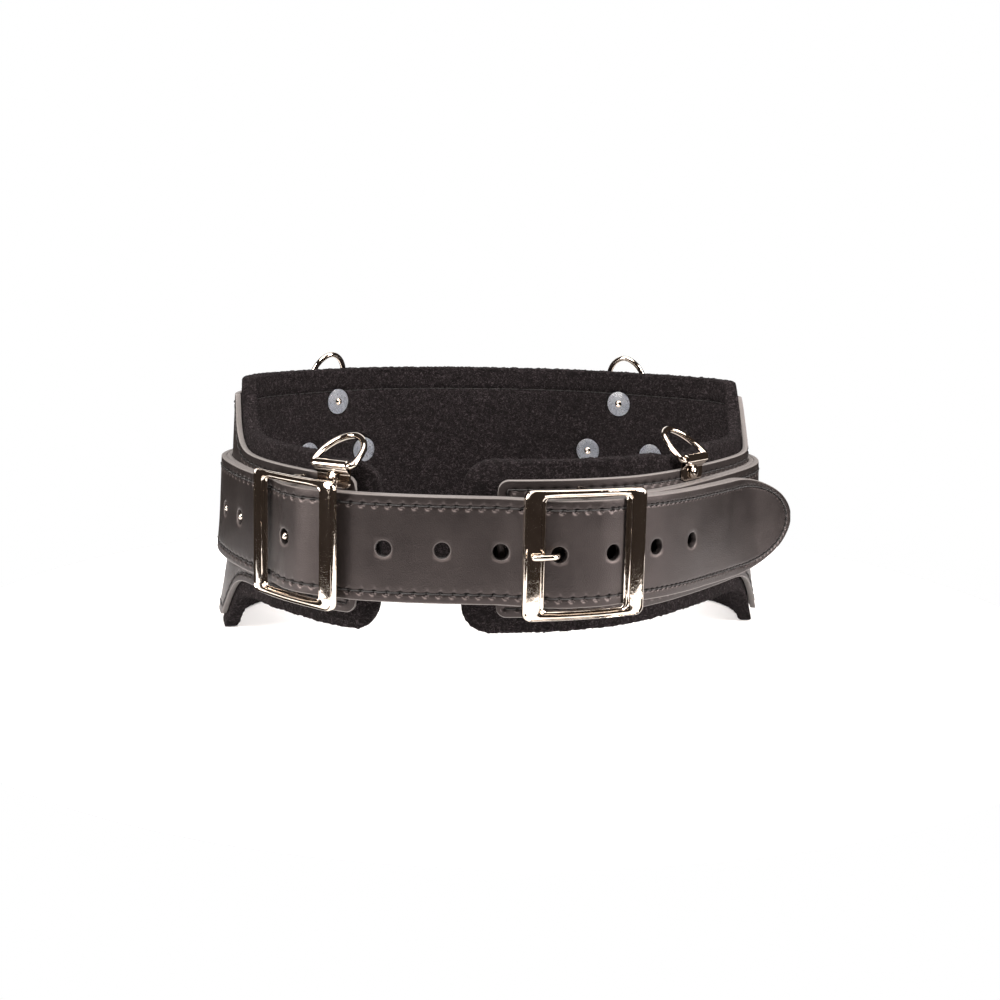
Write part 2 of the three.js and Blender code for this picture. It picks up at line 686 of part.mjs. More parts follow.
for (const { name, s, z, lean } of RINGS) {
  add(`${name}_d_ring`, dRing(s, z, lean), NICKEL);
  add(`${name}_ring_clip`, ringClip(s, z), NICKEL);
  const seat = 2 * CLIP_SHEET + 2 * GAP;
  add(`${name}_clip_rivet`, rivet(s, z - RIVET_DROP, seat, CAP_RADIUS, 3.2), NICKEL);
  add(`${name}_clip_washer`, washer(s, z - RIVET_DROP), PLASTIC);
}
for (const { name, s } of STRAP_RIVETS) {
  add(`${name}_strap_rivet`, rivet(s, STRAP_RIVET_Z, STRAP_THICK + 2 * GAP, STRAP_CAP_RADIUS, 2), NICKEL);
  add(`${name}_strap_washer`, washer(s, STRAP_RIVET_Z), PLASTIC);
}

// The origin is the middle of the whole belt's footprint, on the surface that it stands on.
const extent = new THREE.Box3().setFromObject(group);
const middle = extent.getCenter(new THREE.Vector3());
group.position.set(-middle.x, -middle.y, -extent.min.z);

export default group;
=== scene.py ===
"""Looks of a padded leather tool belt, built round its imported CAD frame.

Every layer of the belt is made flat first, as a length along the belt, a depth through the layer and
a height, in millimetres. It is then wrapped on the plan curve that the frame was built on.
"""

import math

import bmesh
import bpy
import numpy as np
from mathutils import Matrix, Vector, kdtree
from mathutils.noise import noise as sample


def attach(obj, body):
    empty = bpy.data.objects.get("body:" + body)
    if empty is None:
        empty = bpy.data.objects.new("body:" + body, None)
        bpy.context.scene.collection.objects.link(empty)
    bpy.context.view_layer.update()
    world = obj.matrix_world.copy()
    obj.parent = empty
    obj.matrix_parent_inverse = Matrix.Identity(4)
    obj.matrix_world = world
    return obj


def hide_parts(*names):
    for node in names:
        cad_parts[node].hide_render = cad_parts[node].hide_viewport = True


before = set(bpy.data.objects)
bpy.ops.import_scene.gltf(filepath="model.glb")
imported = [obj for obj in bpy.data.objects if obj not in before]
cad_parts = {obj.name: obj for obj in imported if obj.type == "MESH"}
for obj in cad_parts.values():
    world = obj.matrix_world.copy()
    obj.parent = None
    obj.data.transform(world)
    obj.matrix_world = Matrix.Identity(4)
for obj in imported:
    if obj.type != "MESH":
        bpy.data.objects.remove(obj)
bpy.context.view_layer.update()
MM = 0.001

# ---- plan of the belt: outer face of the leather backing, about the middle of the waist ----
PLAN = [
    (0, -167), (45, -161), (84, -147), (114, -126), (138, -103), (161, -79), (184, -52), (204, -24),
    (216, 2), (220.5, 31), (216, 59), (198, 86), (168, 114), (136, 140), (102, 162), (55, 177),
    (0, 181.5),
    (-55, 177), (-102, 162), (-136, 140), (-167, 113), (-194, 85), (-209, 57), (-214.5, 30),
    (-212, 6), (-205, -20), (-194, -50), (-179, -80), (-160, -108), (-141, -131), (-118, -149),
    (-88, -157), (-46, -163),
]
WAIST_MIDDLE = (-8.175, 1.956)  # where the plan's zero lies in the frame

# ---- heights and layers, as in the frame ----
PAD_HEIGHT = 202
PAD_MIDDLE = PAD_HEIGHT / 2
PAD_FRONT_TOP = 161
PAD_FRONT_BOTTOM = 36.5
EDGE_INSET = 13
FOOT_INSET = 11
RING_PRESS = 3.5
FLARE = 0.045
FLARE_BELOW = 0.0009
GAP = 0.35
BACKING_THICK = 4.5
FELT_THICK = 11
FELT_GAP = 0.8
FELT_OUTER = -BACKING_THICK - FELT_GAP
FELT_INNER = FELT_OUTER - FELT_THICK
PAD_RIGHT_END = -42
PAD_LEFT_END = -100
BACKING_RIGHT_END = -17
BACKING_LEFT_END = -117
PAD_END_RADIUS = 21
BACKING_END_RADIUS = 8
CORNER_LENGTH = 18

# ---- strap ----
STRAP_THICK = 8.6
STRAP_HALF = 38.1
HOLE_PITCH = 41
HOLE_COUNTS = range(-8, 4)
STUD_COUNTS = (-8, -7, -5)
PRONG_HOLE_BEFORE = 18
TIP_LENGTH = 74
TIP_AT = 271
RISE_LEFT = 60
RISE_RIGHT = 44
FREE_END_FROM = 196
FREE_END_BEND = 290
SEAM_INSET = 7
PAD_SEAM_INSET = 6.7
FRONT_PITCH = 9.3
TIP_PITCH = 5.2

# ---- buckles ----
BUCKLE_WIDTH = 91
BUCKLE_HEIGHT = 92
SIDE_BAR = 15.5
CROSS_BAR = 6.4
FRAME_THICK = 4.6
FRAME_CORNER = 6
WINDOW_CORNER = 3
FRAME_BOW = 260
BAR_RADIUS = 2.5
RIGHT_BUCKLE_AT = (39.1, -162.4)
LEFT_BUCKLE_AT = (-149.3, -121.9)
RIGHT_FRAME_OFFSET = 22.6
LEFT_FRAME_OFFSET = 16.2
RIGHT_BAR_OFFSET = 7.6
LEFT_BAR_OFFSET = 4.4
BAR_BORE = BAR_RADIUS + 0.3
CHAPE_PLY = 4
FOLD_TAIL = 30
PRONG_RADIUS = 2.3
PRONG_REACH = 39.5
PRONG_LIES_AT = 17.3
PRONG_BEHIND = [(3.4, 1.2, 0), (12, 2.2, 0), (17.4, 6, 0), (19.6, 10.5, 0), (21.4, 15, 0)]

# ---- D-rings, clips, rivets, washers and studs ----
WIRE_RADIUS = 2.3
RING_HALF = 17.6
RING_RISE = 32
RING_SWELL = 0.24
CLIP_WIDTH = 29
CLIP_SHEET = 1
CLIP_DROP = 16.2
CLIP_CORNER = 4
RIVET_DROP = 10.2
CLIP_BORE = WIRE_RADIUS + 0.3
CLIP_OUTER = CLIP_BORE + CLIP_SHEET
RING_OFFSET = GAP + CLIP_OUTER
RINGS = {
    "front_left": ((-129, -141), 155.5, 56),
    "front_right": ((136.5, -104.5), 155.5, 51),
    "back_right": ((137, 135), 184, 16),
    "back_left": ((-137, 135), 184, 16),
}
STRAP_RIVETS = {
    "back_right_inner": (112, 155),
    "back_right_outer": (162, 112),
    "back_left_inner": (-112, 155),
    "back_left_outer": (-162, 112),
}
STRAP_RIVET_Z = 128
SHANK = 1.9
CAP_RADIUS = 5.4
STRAP_CAP_RADIUS = 5
TAIL_RADIUS = 3.1
WASHER_RADIUS = 11.2
WASHER_THICK = 1.2
WASHER_SEAT = FELT_INNER + 1.6
WASHER_FACE = WASHER_SEAT - GAP - WASHER_THICK
STUD_FLANGE = 8
STUD_BALL = 2.9
STUD_SEAT = -2.3


# ---- plan curve ----
def centripetal_loop(points, steps=36):
    """Points of a closed smooth curve through the given ones, and the distance to each."""
    p = np.array(points, float)
    t = np.linspace(0, 1, steps, endpoint=False)[:, None]
    rows = []
    for i in range(len(p)):
        p0, p1, p2, p3 = (p[(i + k) % len(p)] for k in (-1, 0, 1, 2))
        d0, d1, d2 = (np.linalg.norm(b - a) ** 0.5 for a, b in ((p0, p1), (p1, p2), (p2, p3)))
        m1 = ((p1 - p0) / d0 - (p2 - p0) / (d0 + d1) + (p2 - p1) / d1) * d1
        m2 = ((p2 - p1) / d1 - (p3 - p1) / (d1 + d2) + (p3 - p2) / d2) * d1
        square = 3 * (p2 - p1) - 2 * m1 - m2
        cube = 2 * (p1 - p2) + m1 + m2
        rows.append(p1 + t * m1 + t ** 2 * square + t ** 3 * cube)
    curve = np.vstack(rows + [p[:1]])
    steps_long = np.linalg.norm(np.diff(curve, axis=0), axis=1)
    return curve, np.concatenate([[0], np.cumsum(steps_long)])


LOOP, LOOP_S = centripetal_loop(PLAN)
LENGTH = LOOP_S[-1]
_ends = np.vstack([LOOP[-2], LOOP, LOOP[1]])
LOOP_ALONG = (_ends[2:] - _ends[:-2]) / np.linalg.norm(_ends[2:] - _ends[:-2], axis=1)[:, None]


def plan_at(s):
    """Points on the plan curve and the outward directions there."""
    s = np.mod(s, LENGTH)
    x, y = (np.interp(s, LOOP_S, LOOP[:, k]) for k in (0, 1))
    ax, ay = (np.interp(s, LOOP_S, LOOP_ALONG[:, k]) for k in (0, 1))
    return x, y, ay, -ax


def nearest(at):
    fine = np.arange(0, LENGTH, 0.25)
    x, y, _, _ = plan_at(fine)
    return float(fine[np.argmin(np.hypot(x - at[0], y - at[1]))])


def smooth(start, end, value):
    t = np.clip((value - start) / (end - start), 0, 1)
    return t * t * (3 - 2 * t)


def flare_at(y, z):
    below = PAD_MIDDLE - z
    return smooth(-160, -10, y) * below * (FLARE + FLARE_BELOW * np.maximum(0, below))


def belt_points(s, offset, z):
    """Points in the frame's millimetres from distances along the belt, offsets outwards and heights."""
    s, offset, z = np.broadcast_arrays(np.asarray(s, float), offset, z)
    x, y, ox, oy = plan_at(s)
    outwards = offset + flare_at(y, z)
    return np.stack([x + ox * outwards + WAIST_MIDDLE[0], y + oy * outwards + WAIST_MIDDLE[1], z], -1)


def belt_frame(s, offset, z):
    """Place of a rigid piece on the belt: X back along the belt, Y outwards, Z up the leaning face."""
    _, y, ox, oy = plan_at(s)
    lean = math.atan((flare_at(y, z - 10) - flare_at(y, z + 10)) / 20)
    outwards = np.array([ox * math.cos(lean), oy * math.cos(lean), math.sin(lean)])
    up = np.array([-ox * math.sin(lean), -oy * math.sin(lean), math.cos(lean)])
    place = np.eye(4)
    place[:3, 0] = np.cross(outwards, up)
    place[:3, 1] = outwards
    place[:3, 2] = up
    place[:3, 3] = belt_points(s, offset, z)
    return place


def placed(points, place):
    return np.asarray(points, float) @ place[:3, :3].T + place[:3, 3]


# ---- meshes ----
def make_piece(name, points, faces, material, edge=None, flat_angle=40, dent=None):
    """A closed smooth mesh in the frame's metres from points in millimetres."""
    mesh = bpy.data.meshes.new(name)
    mesh.from_pydata((np.asarray(points) * MM).tolist(), [], faces)
    for label, values in (("edge", edge), ("dent", dent)):
        if values is not None:
            layer = mesh.attributes.new(label, "FLOAT", "POINT")
            layer.data.foreach_set("value", np.asarray(values, np.float32))
    work = bmesh.new()
    work.from_mesh(mesh)
    bmesh.ops.recalc_face_normals(work, faces=work.faces)
    work.to_mesh(mesh)
    work.free()
    mesh.polygons.foreach_set("use_smooth", [True] * len(mesh.polygons))
    mesh.set_sharp_from_angle(angle=math.radians(flat_angle))
    mesh.materials.append(material)
    piece = bpy.data.objects.new(name, mesh)
    bpy.context.scene.collection.objects.link(piece)
    return piece


def finish_piece(piece, body, slot, *nodes):
    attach(piece, body)
    if nodes:
        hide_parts(*nodes)
    return piece


def joined(parts):
    """One list of points and faces from several."""
    points, faces, start = [], [], 0
    for p, f in parts:
        points.append(np.asarray(p, float))
        faces += [[start + i for i in face] for face in f]
        start += len(p)
    return np.vstack(points), faces


def walls(count, size, closed=False):
    """Four-sided faces between one ring of points and the next."""
    faces = []
    for i in range(count if closed else count - 1):
        n = (i + 1) % count
        for k in range(size):
            j = (k + 1) % size
            faces.append([i * size + k, i * size + j, n * size + j, n * size + k])
    return faces


def caps(count, size):
    """One face over the first ring of points and one over the last."""
    return [list(range(size)), list(range((count - 1) * size, count * size))]


def lathe(profile, sides=40):
    """A closed solid turned about the local Y axis from [radius, height] pairs, top to bottom."""
    profile = np.array(profile, float)
    a = np.linspace(0, 2 * math.pi, sides, endpoint=False)
    rings = []
    for r, h in profile:
        rings.append(np.stack([r * np.cos(a), np.full(sides, h), r * np.sin(a)], 1))
    return np.vstack(rings), walls(len(profile), sides) + caps(len(profile), sides)


def washer_shape(inner, outer, low, high, sides=40):
    """A flat ring with rounded rims, as a closed profile turned about the local Y axis."""
    soft = min(0.35, (high - low) / 2.5)
    profile = [
        (inner, low), (inner, high), (inner + soft, high + soft * 0.3),
        (outer - 2 * soft, high + soft * 0.3), (outer - 0.4 * soft, high - soft * 0.4),
        (outer, (low + high) / 2), (outer - 0.4 * soft, low + soft * 0.4), (outer - 2 * soft, low),
    ]
    points, faces = lathe(profile, sides)
    faces = faces[:-2]
    last = (len(profile) - 1) * sides
    for k in range(sides):
        j = (k + 1) % sides
        faces.append([k, j, last + j, last + k])
    return points, faces


def swept(path, radius, sides=16, closed=False):
    """A round wire along a path; radius is one number or one for each point."""
    path = np.asarray(path, float)
    radius = np.broadcast_to(radius, len(path))
    if closed:
        along = np.roll(path, -1, 0) - np.roll(path, 1, 0)
    else:
        along = np.gradient(path, axis=0)
    along /= np.linalg.norm(along, axis=1)[:, None]
    side = np.cross(along[0], [0, 0, 1.0])
    if np.linalg.norm(side) < 0.1:
        side = np.cross(along[0], [0, 1.0, 0])
    a = np.linspace(0, 2 * math.pi, sides, endpoint=False)
    rings = []
    for i in range(len(path)):
        side = side - along[i] * (side @ along[i])
        side /= np.linalg.norm(side)
        up = np.cross(along[i], side)
        rings.append(path[i] + radius[i] * (np.outer(np.cos(a), side) + np.outer(np.sin(a), up)))
    faces = walls(len(path), sides, closed)
    return np.vstack(rings), faces if closed else faces + caps(len(path), sides)


def smooth_path(points, steps=8):
    """A Catmull-Rom curve through points, open at both ends."""
    p = np.array(points, float)
    p = np.vstack([2 * p[0] - p[1], p, 2 * p[-1] - p[-2]])
    t = np.linspace(0, 1, steps, endpoint=False)[:, None]
    rows = []
    for i in range(1, len(p) - 2):
        a, b, c, d = p[i - 1], p[i], p[i + 1], p[i + 2]
        square = 2 * a - 5 * b + 4 * c - d
        cube = 3 * b - a - 3 * c + d
        rows.append(0.5 * (2 * b + (c - a) * t + square * t ** 2 + cube * t ** 3))
    return np.vstack(rows + [p[-2:-1]])


# ---- seams ----
class Seam:
    """A line of stitches on a flat layer: a path of [along, height] points, stitched at a pitch."""

    def __init__(self, path, pitch):
        path = np.asarray(path, float)
        run = np.concatenate([[0], np.cumsum(np.linalg.norm(np.diff(path, axis=0), axis=1))])
        places = [0.0]
        while places[-1] < run[-1] - 3:
            here = np.interp(places[-1], run, path[:, 0])
            places.append(places[-1] + pitch(here))
        self.places = np.array(places[:-1])
        self.run = run
        self.path = path
        self.holes = self.at(self.places)
        self.ahead = self.at(self.places + 0.4) - self.holes
        self.ahead /= np.linalg.norm(self.ahead, axis=1)[:, None]
        gaps = np.diff(self.places, append=self.places[-1] + FRONT_PITCH)
        self.wide = np.clip(gaps / FRONT_PITCH, 0.1, 1) ** 0.4
        fine = np.arange(0, run[-1], 0.7)
        self.fine_tree = self.tree(self.at(fine))
        self.hole_tree = self.tree(self.holes)

    def at(self, distance):
        return np.stack([np.interp(distance, self.run, self.path[:, k]) for k in (0, 1)], -1)

    @staticmethod
    def tree(points):
        found = kdtree.KDTree(len(points))
        for i, (a, b) in enumerate(points):
            found.insert((a, b, 0), i)
        found.balance()
        return found

    def dent(self, along, height, hole_deep, trench_deep, trench_wide=1.3, slant=0.55):
        """How deep the thread and its holes press into the layer at each point."""
        deep = np.zeros(len(along))
        c, s = math.cos(slant), math.sin(slant)
        for i, (a, b) in enumerate(zip(along, height)):
            _, _, far = self.fine_tree.find((a, b, 0))
            if far > 3 * trench_wide:
                continue
            deep[i] = trench_deep * math.exp(-((far / trench_wide) ** 2))
            _, k, _ = self.hole_tree.find((a, b, 0))
            da, db = a - self.holes[k, 0], b - self.holes[k, 1]
            u = da * self.ahead[k, 0] + db * self.ahead[k, 1]
            v = -da * self.ahead[k, 1] + db * self.ahead[k, 0]
            wide = self.wide[k]
            round_about = math.hypot((u * c + v * s) / 2.0, (v * c - u * s) / 1.35) / wide
            deep[i] += hole_deep * wide * math.exp(-((round_about * 1.05) ** 3))
            # The lip below each hole is full and the one above a third; the leather materials paint these
            # lips as a highlight and the pits as shade.
            lip = math.exp(-(((round_about - 1.55) / 0.3) ** 2)) * (1 if db < 0 else 0.3)
            deep[i] -= 0.16 * hole_deep * wide * lip
        return deep

    def thread(self, surface, thick=0.5, sides=6):
        """Thread between the holes; surface places [along, height, lift] points."""
        parts = []
        for a, b in zip(self.places[:-1], self.places[1:]):
            if b - a > 20:
                continue
            t = np.array([0.03, 0.12, 0.25, 0.5, 0.75, 0.88, 0.97])
            lift = np.array([-1.3, -0.35, 0.12, 0.22, 0.12, -0.35, -1.3])
            flat = self.at(a + (b - a) * t)
            parts.append(swept(surface(flat[:, 0], flat[:, 1], lift), thick, sides))
        return joined(parts)


# ---- sheets ----
def edge_profile(thick, radius, plies):
    """Points round a cut edge, from the outer face to the inner: depth below the face and draw-in."""
    turn = np.radians([0, 25, 50, 90])
    outer = [(radius * (1 - math.cos(a)), radius * (1 - math.sin(a))) for a in turn]
    groove = [(thick / 2 - 0.6, 0.0), (thick / 2, 0.5), (thick / 2 + 0.6, 0.0)] if plies == 2 else []
    inner = [(thick - d, drop) for d, drop in reversed(outer)]
    return np.array(outer + groove + inner)


class Sheet:
    """A flat layer as columns of closed loops, with holes punched through it."""

    def __init__(self, stations, rows, bottom, top, thick, radius, plies=1):
        self.stations = np.asarray(stations, float)
        self.thick = thick
        count = len(self.stations)
        edge = edge_profile(thick, radius, plies)
        rows = np.asarray(rows)
        self.rows = rows.shape[1]
        self.edges = len(edge)
        low, high = bottom[:, None], top[:, None]
        full = np.full_like(rows, float(thick))
        depth = np.broadcast_to(thick - edge[:, 0], (count, self.edges))
        draw = edge[:, 1][None, :]
        self.depth = np.hstack([full, depth, 0 * rows, depth[:, ::-1]])
        self.height = np.hstack([rows, high - draw, rows[:, ::-1], low + draw[:, ::-1]])
        self.along = np.repeat(self.stations[:, None], self.depth.shape[1], axis=1)
        wall = np.concatenate([np.zeros(self.rows), [0.3] + [1] * (self.edges - 2) + [0.3]] * 2)
        self.edge = np.repeat(wall[None, :], count, axis=0)
        self.round_ends(radius, bottom, top)
        self.skip = set()
        self.more_points = []
        self.more_faces = []

    def round_ends(self, radius, bottom, top):
        from_end = np.minimum(self.stations - self.stations[0], self.stations[-1] - self.stations)
        inside = np.clip(radius - from_end, 0, radius)
        inset = radius - np.sqrt(np.maximum(0, radius ** 2 - inside ** 2))
        half = self.thick / 2
        middle = ((bottom + top) / 2)[:, None]
        tall = np.maximum((top - bottom) / 2, 0.2)
        self.depth = half + (self.depth - half) * ((half - inset) / half)[:, None]
        self.height = middle + (self.height - middle) * (np.maximum(tall - inset, 0.1) / tall)[:, None]

    def index(self, column, place):
        return column * self.depth.shape[1] + place

    def inner_place(self, row):
        return self.rows + self.edges + (self.rows - 1 - row)

    def punch(self, along, height, profile, reach=9.0):
        """Cuts a round hole; profile is [radius, depth below the outer face] pairs through the layer."""
        c0 = np.searchsorted(self.stations, along - reach) - 1
        c1 = np.searchsorted(self.stations, along + reach)
        line = self.height[(c0 + c1) // 2, : self.rows]
        r0 = np.searchsorted(line, height - reach) - 1
        r1 = np.searchsorted(line, height + reach)
        ring = [(c, r0) for c in range(c0, c1)] + [(c1, r) for r in range(r0, r1)]
        ring += [(c, r1) for c in range(c1, c0, -1)] + [(c0, r) for r in range(r1, r0, -1)]
        for c in range(c0, c1):
            for r in range(r0, r1):
                self.skip.add((c, r))
                self.skip.add((c, self.inner_place(r + 1)))
        outer = [self.index(c, r) for c, r in ring]
        inner = [self.index(c, self.inner_place(r)) for c, r in ring]
        a = self.along.ravel()[outer] - along
        b = self.height.ravel()[outer] - height
        angle = np.arctan2(b, a)
        loops = [outer]
        first = profile[0][0]
        steps = [("blend", 0.5, first, 0.0)] + [("round", 0, r, d) for r, d in profile]
        steps.append(("blend", 0.5, profile[-1][0], self.thick))
        for kind, share, radius, deep in steps:
            x, y = radius * np.cos(angle), radius * np.sin(angle)
            if kind == "blend":
                x, y = (x + a) * share, (y + b) * share
            start = self.depth.size + sum(len(p) for p in self.more_points)
            wall = np.full(len(ring), 0.0 if deep < 1 or deep == self.thick else 0.4)
            depth = np.full(len(ring), self.thick - deep)
            self.more_points.append(np.stack([x + along, y + height, depth, wall], 1))
            loops.append(list(range(start, start + len(ring))))
        loops.append(inner)
        for p, q in zip(loops[:-1], loops[1:]):
            for k in range(len(ring)):
                j = (k + 1) % len(ring)
                self.more_faces.append([p[k], p[j], q[j], q[k]])

    def build(self):
        """Flat points [along, height, depth], faces and the share of cut edge at each point."""
        count, size = self.depth.shape
        layers = (self.along, self.height, self.depth, self.edge)
        points = np.vstack([np.stack([layer.ravel() for layer in layers], 1), *self.more_points])
        faces = []
        for c in range(count - 1):
            for m in range(size):
                if (c, m) in self.skip:
                    continue
                n = (m + 1) % size
                faces.append([c * size + m, (c + 1) * size + m, (c + 1) * size + n, c * size + n])
        return points[:, :3], faces + caps(count, size) + self.more_faces, points[:, 3]


def matted(points, scale):
    """Irregular bumps about one millimetre high at most, the same each time."""
    return np.array([2 * sample(Vector(p) / scale) for p in points])


def noise(points, scale, seed):
    """Smooth repeatable bumps between -1 and 1 from a few sine waves in turned directions."""
    rng = np.random.default_rng(seed)
    value = np.zeros(len(points))
    for _ in range(9):
        turn = rng.normal(size=3)
        turn *= rng.uniform(0.6, 1.6) / np.linalg.norm(turn)
        value += np.sin(points @ turn * (2 * math.pi / scale) + rng.uniform(0, 2 * math.pi))
    return value / 4.5


# ---- shape of the layers ----
TOP_RIGHT, TOP_LEFT = nearest((220, 36)), nearest((-212, 14))
FOOT_RIGHT, FOOT_LEFT = nearest((217, 4)), nearest((-211, 2))
RIGHT_BUCKLE, LEFT_BUCKLE = nearest(RIGHT_BUCKLE_AT), nearest(LEFT_BUCKLE_AT)
RING_S = {name: nearest(at) for name, (at, _, _) in RINGS.items()}
OVER_BUCKLE = LENGTH + RIGHT_BUCKLE
STRAP_FROM = RIGHT_BUCKLE + 14
STRAP_TO = LENGTH + TIP_AT


def shallow(s, right, left):
    past = np.maximum(np.maximum(right - s, s - left), 0)
    return 1 - np.exp(-((past / CORNER_LENGTH) ** 1.3))


def end_round(s, right_end, left_end, radius):
    away = np.clip(np.minimum(s - right_end, LENGTH + left_end - s), 0, radius)
    return radius - np.sqrt(radius ** 2 - (radius - away) ** 2)


def pad_edges(s, inset, right_end, left_end, radius):
    """Lower and upper edge heights of the pad or of its backing."""
    drawn = end_round(s, right_end, left_end, radius)
    front = shallow(s, FOOT_RIGHT, FOOT_LEFT)
    top = PAD_HEIGHT - (PAD_HEIGHT - PAD_FRONT_TOP) * shallow(s, TOP_RIGHT, TOP_LEFT) - inset - drawn
    foot = FOOT_INSET if inset else 0
    bottom = PAD_FRONT_BOTTOM * front + (EDGE_INSET * front + foot * (1 - front) if inset else 0) + drawn
    return bottom, top


def strap_middle(s):
    drop = 2 * smooth(LEFT_BUCKLE - 60, LEFT_BUCKLE + 120, s)
    drop = drop + 1.5 * smooth(OVER_BUCKLE, STRAP_TO, s)
    return PAD_MIDDLE - drop - 2 * (1 - smooth(STRAP_FROM, STRAP_FROM + 160, s))


def strap_inner(s):
    over_left = LEFT_BAR_OFFSET + BAR_RADIUS + GAP
    over_right = RIGHT_BAR_OFFSET + BAR_RADIUS + 0.3 + CHAPE_PLY + GAP
    over_strap = GAP + STRAP_THICK + GAP
    left = (over_left - GAP) * (1 - smooth(4, 40, np.abs(s - LEFT_BUCKLE)))
    right = (over_right - GAP) * smooth(OVER_BUCKLE - RISE_LEFT, OVER_BUCKLE - 8, s)
    right = right - (over_right - over_strap) * smooth(OVER_BUCKLE + 8, OVER_BUCKLE + RISE_RIGHT, s)
    free = np.maximum(0, s - LENGTH - FREE_END_FROM)
    return GAP + left + right + free ** 2 / FREE_END_BEND


def strap_half(s):
    along = 1 - np.clip((STRAP_TO - s) / TIP_LENGTH, 0.004, 1)
    return STRAP_HALF * np.sqrt(1 - along ** 2)


# ---- the strap in its own length: distances along its outer face ----
_S = np.arange(STRAP_FROM - 60, STRAP_TO + 20, 0.5)
_OUTER = belt_points(_S, strap_inner(_S) + STRAP_THICK, strap_middle(_S))
_Q = np.concatenate([[0], np.cumsum(np.linalg.norm(np.diff(_OUTER, axis=0), axis=1))])


def strap_q(s):
    return np.interp(s, _S, _Q)


def strap_s(q):
    return np.interp(q, _Q, _S)


Q_FROM, Q_TO = float(strap_q(STRAP_FROM)), float(strap_q(STRAP_TO))
Q_PRONG = float(strap_q(OVER_BUCKLE - PRONG_HOLE_BEFORE))
HOLES_Q = {k: Q_PRONG + HOLE_PITCH * k for k in HOLE_COUNTS}


def strap_wrap(q, z, depth):
    """Frame points of the strap from its own length, height about its middle and depth below its face."""
    s = strap_s(q)
    return belt_points(s, strap_inner(s) + STRAP_THICK - depth, strap_middle(s) + z)


def strap_lift(q, z, lift):
    return strap_wrap(q, z, -np.asarray(lift))


def strap_seam():
    """The stitch line: along the lower edge, round the tip and back along the upper edge."""
    inset = STRAP_HALF - SEAM_INSET
    turn = np.linspace(-math.pi / 2, math.pi / 2, 60)
    reach = TIP_LENGTH - SEAM_INSET
    middle = Q_TO - TIP_LENGTH
    round_tip = np.stack([middle + reach * np.cos(turn), inset * np.sin(turn)], 1)
    start = Q_FROM + 5
    path = np.vstack([[[start, -inset]], round_tip, [[start, inset]]])
    return Seam(path, lambda at: TIP_PITCH if at > Q_PRONG + 40 else FRONT_PITCH)


def seam_rows(low, high, lines, coarse, fine=(-2.6, -1.7, -1.0, -0.5, 0, 0.5, 1.0, 1.7, 2.6)):
    """Rows across a sheet between its edges: close together about each stitch line."""
    near = sorted({round(line + f, 3) for line in lines for f in fine})
    rest = [v for v in np.arange(low + coarse, high - coarse * 0.6, coarse)]
    rest = [v for v in rest if all(abs(v - n) > coarse * 0.55 for n in near)]
    return np.array(sorted(near + rest))


def stitch_columns(start, end, places, fine, coarse):
    near = sorted({round(p + f, 3) for p in places for f in fine if start < p + f < end})
    keep = [near[0]] if near else []
    for v in near[1:]:
        if v - keep[-1] > 0.45:
            keep.append(v)
    gaps = [start] + keep + [end]
    out = []
    for a, b in zip(gaps[:-1], gaps[1:]):
        out += list(np.linspace(a, b, max(1, int(math.ceil((b - a) / coarse))), endpoint=False))
    return np.array(out + [end])


def end_steps(start, end, radius):
    steps = [0.0, 0.15, 0.5, 1.0]
    return [start + radius * f for f in steps], [end - radius * f for f in reversed(steps)]


def with_ends(columns, start, end, radius):
    first, last = end_steps(start, end, radius)
    middle = [c for c in columns if start + radius * 1.3 < c < end - radius * 1.3]
    return np.array(first + middle + last)


# ---- strap ----
HOLE_PROFILE = [(8.2, 0.0), (7.5, 0.18), (6.9, 0.6), (6.4, 1.3), (6.0, 2.0), (5.8, 4.1), (5.45, 4.4),
                (5.6, 4.7), (5.7, STRAP_THICK - 0.9), (6.3, STRAP_THICK - 0.2), (7.0, STRAP_THICK)]


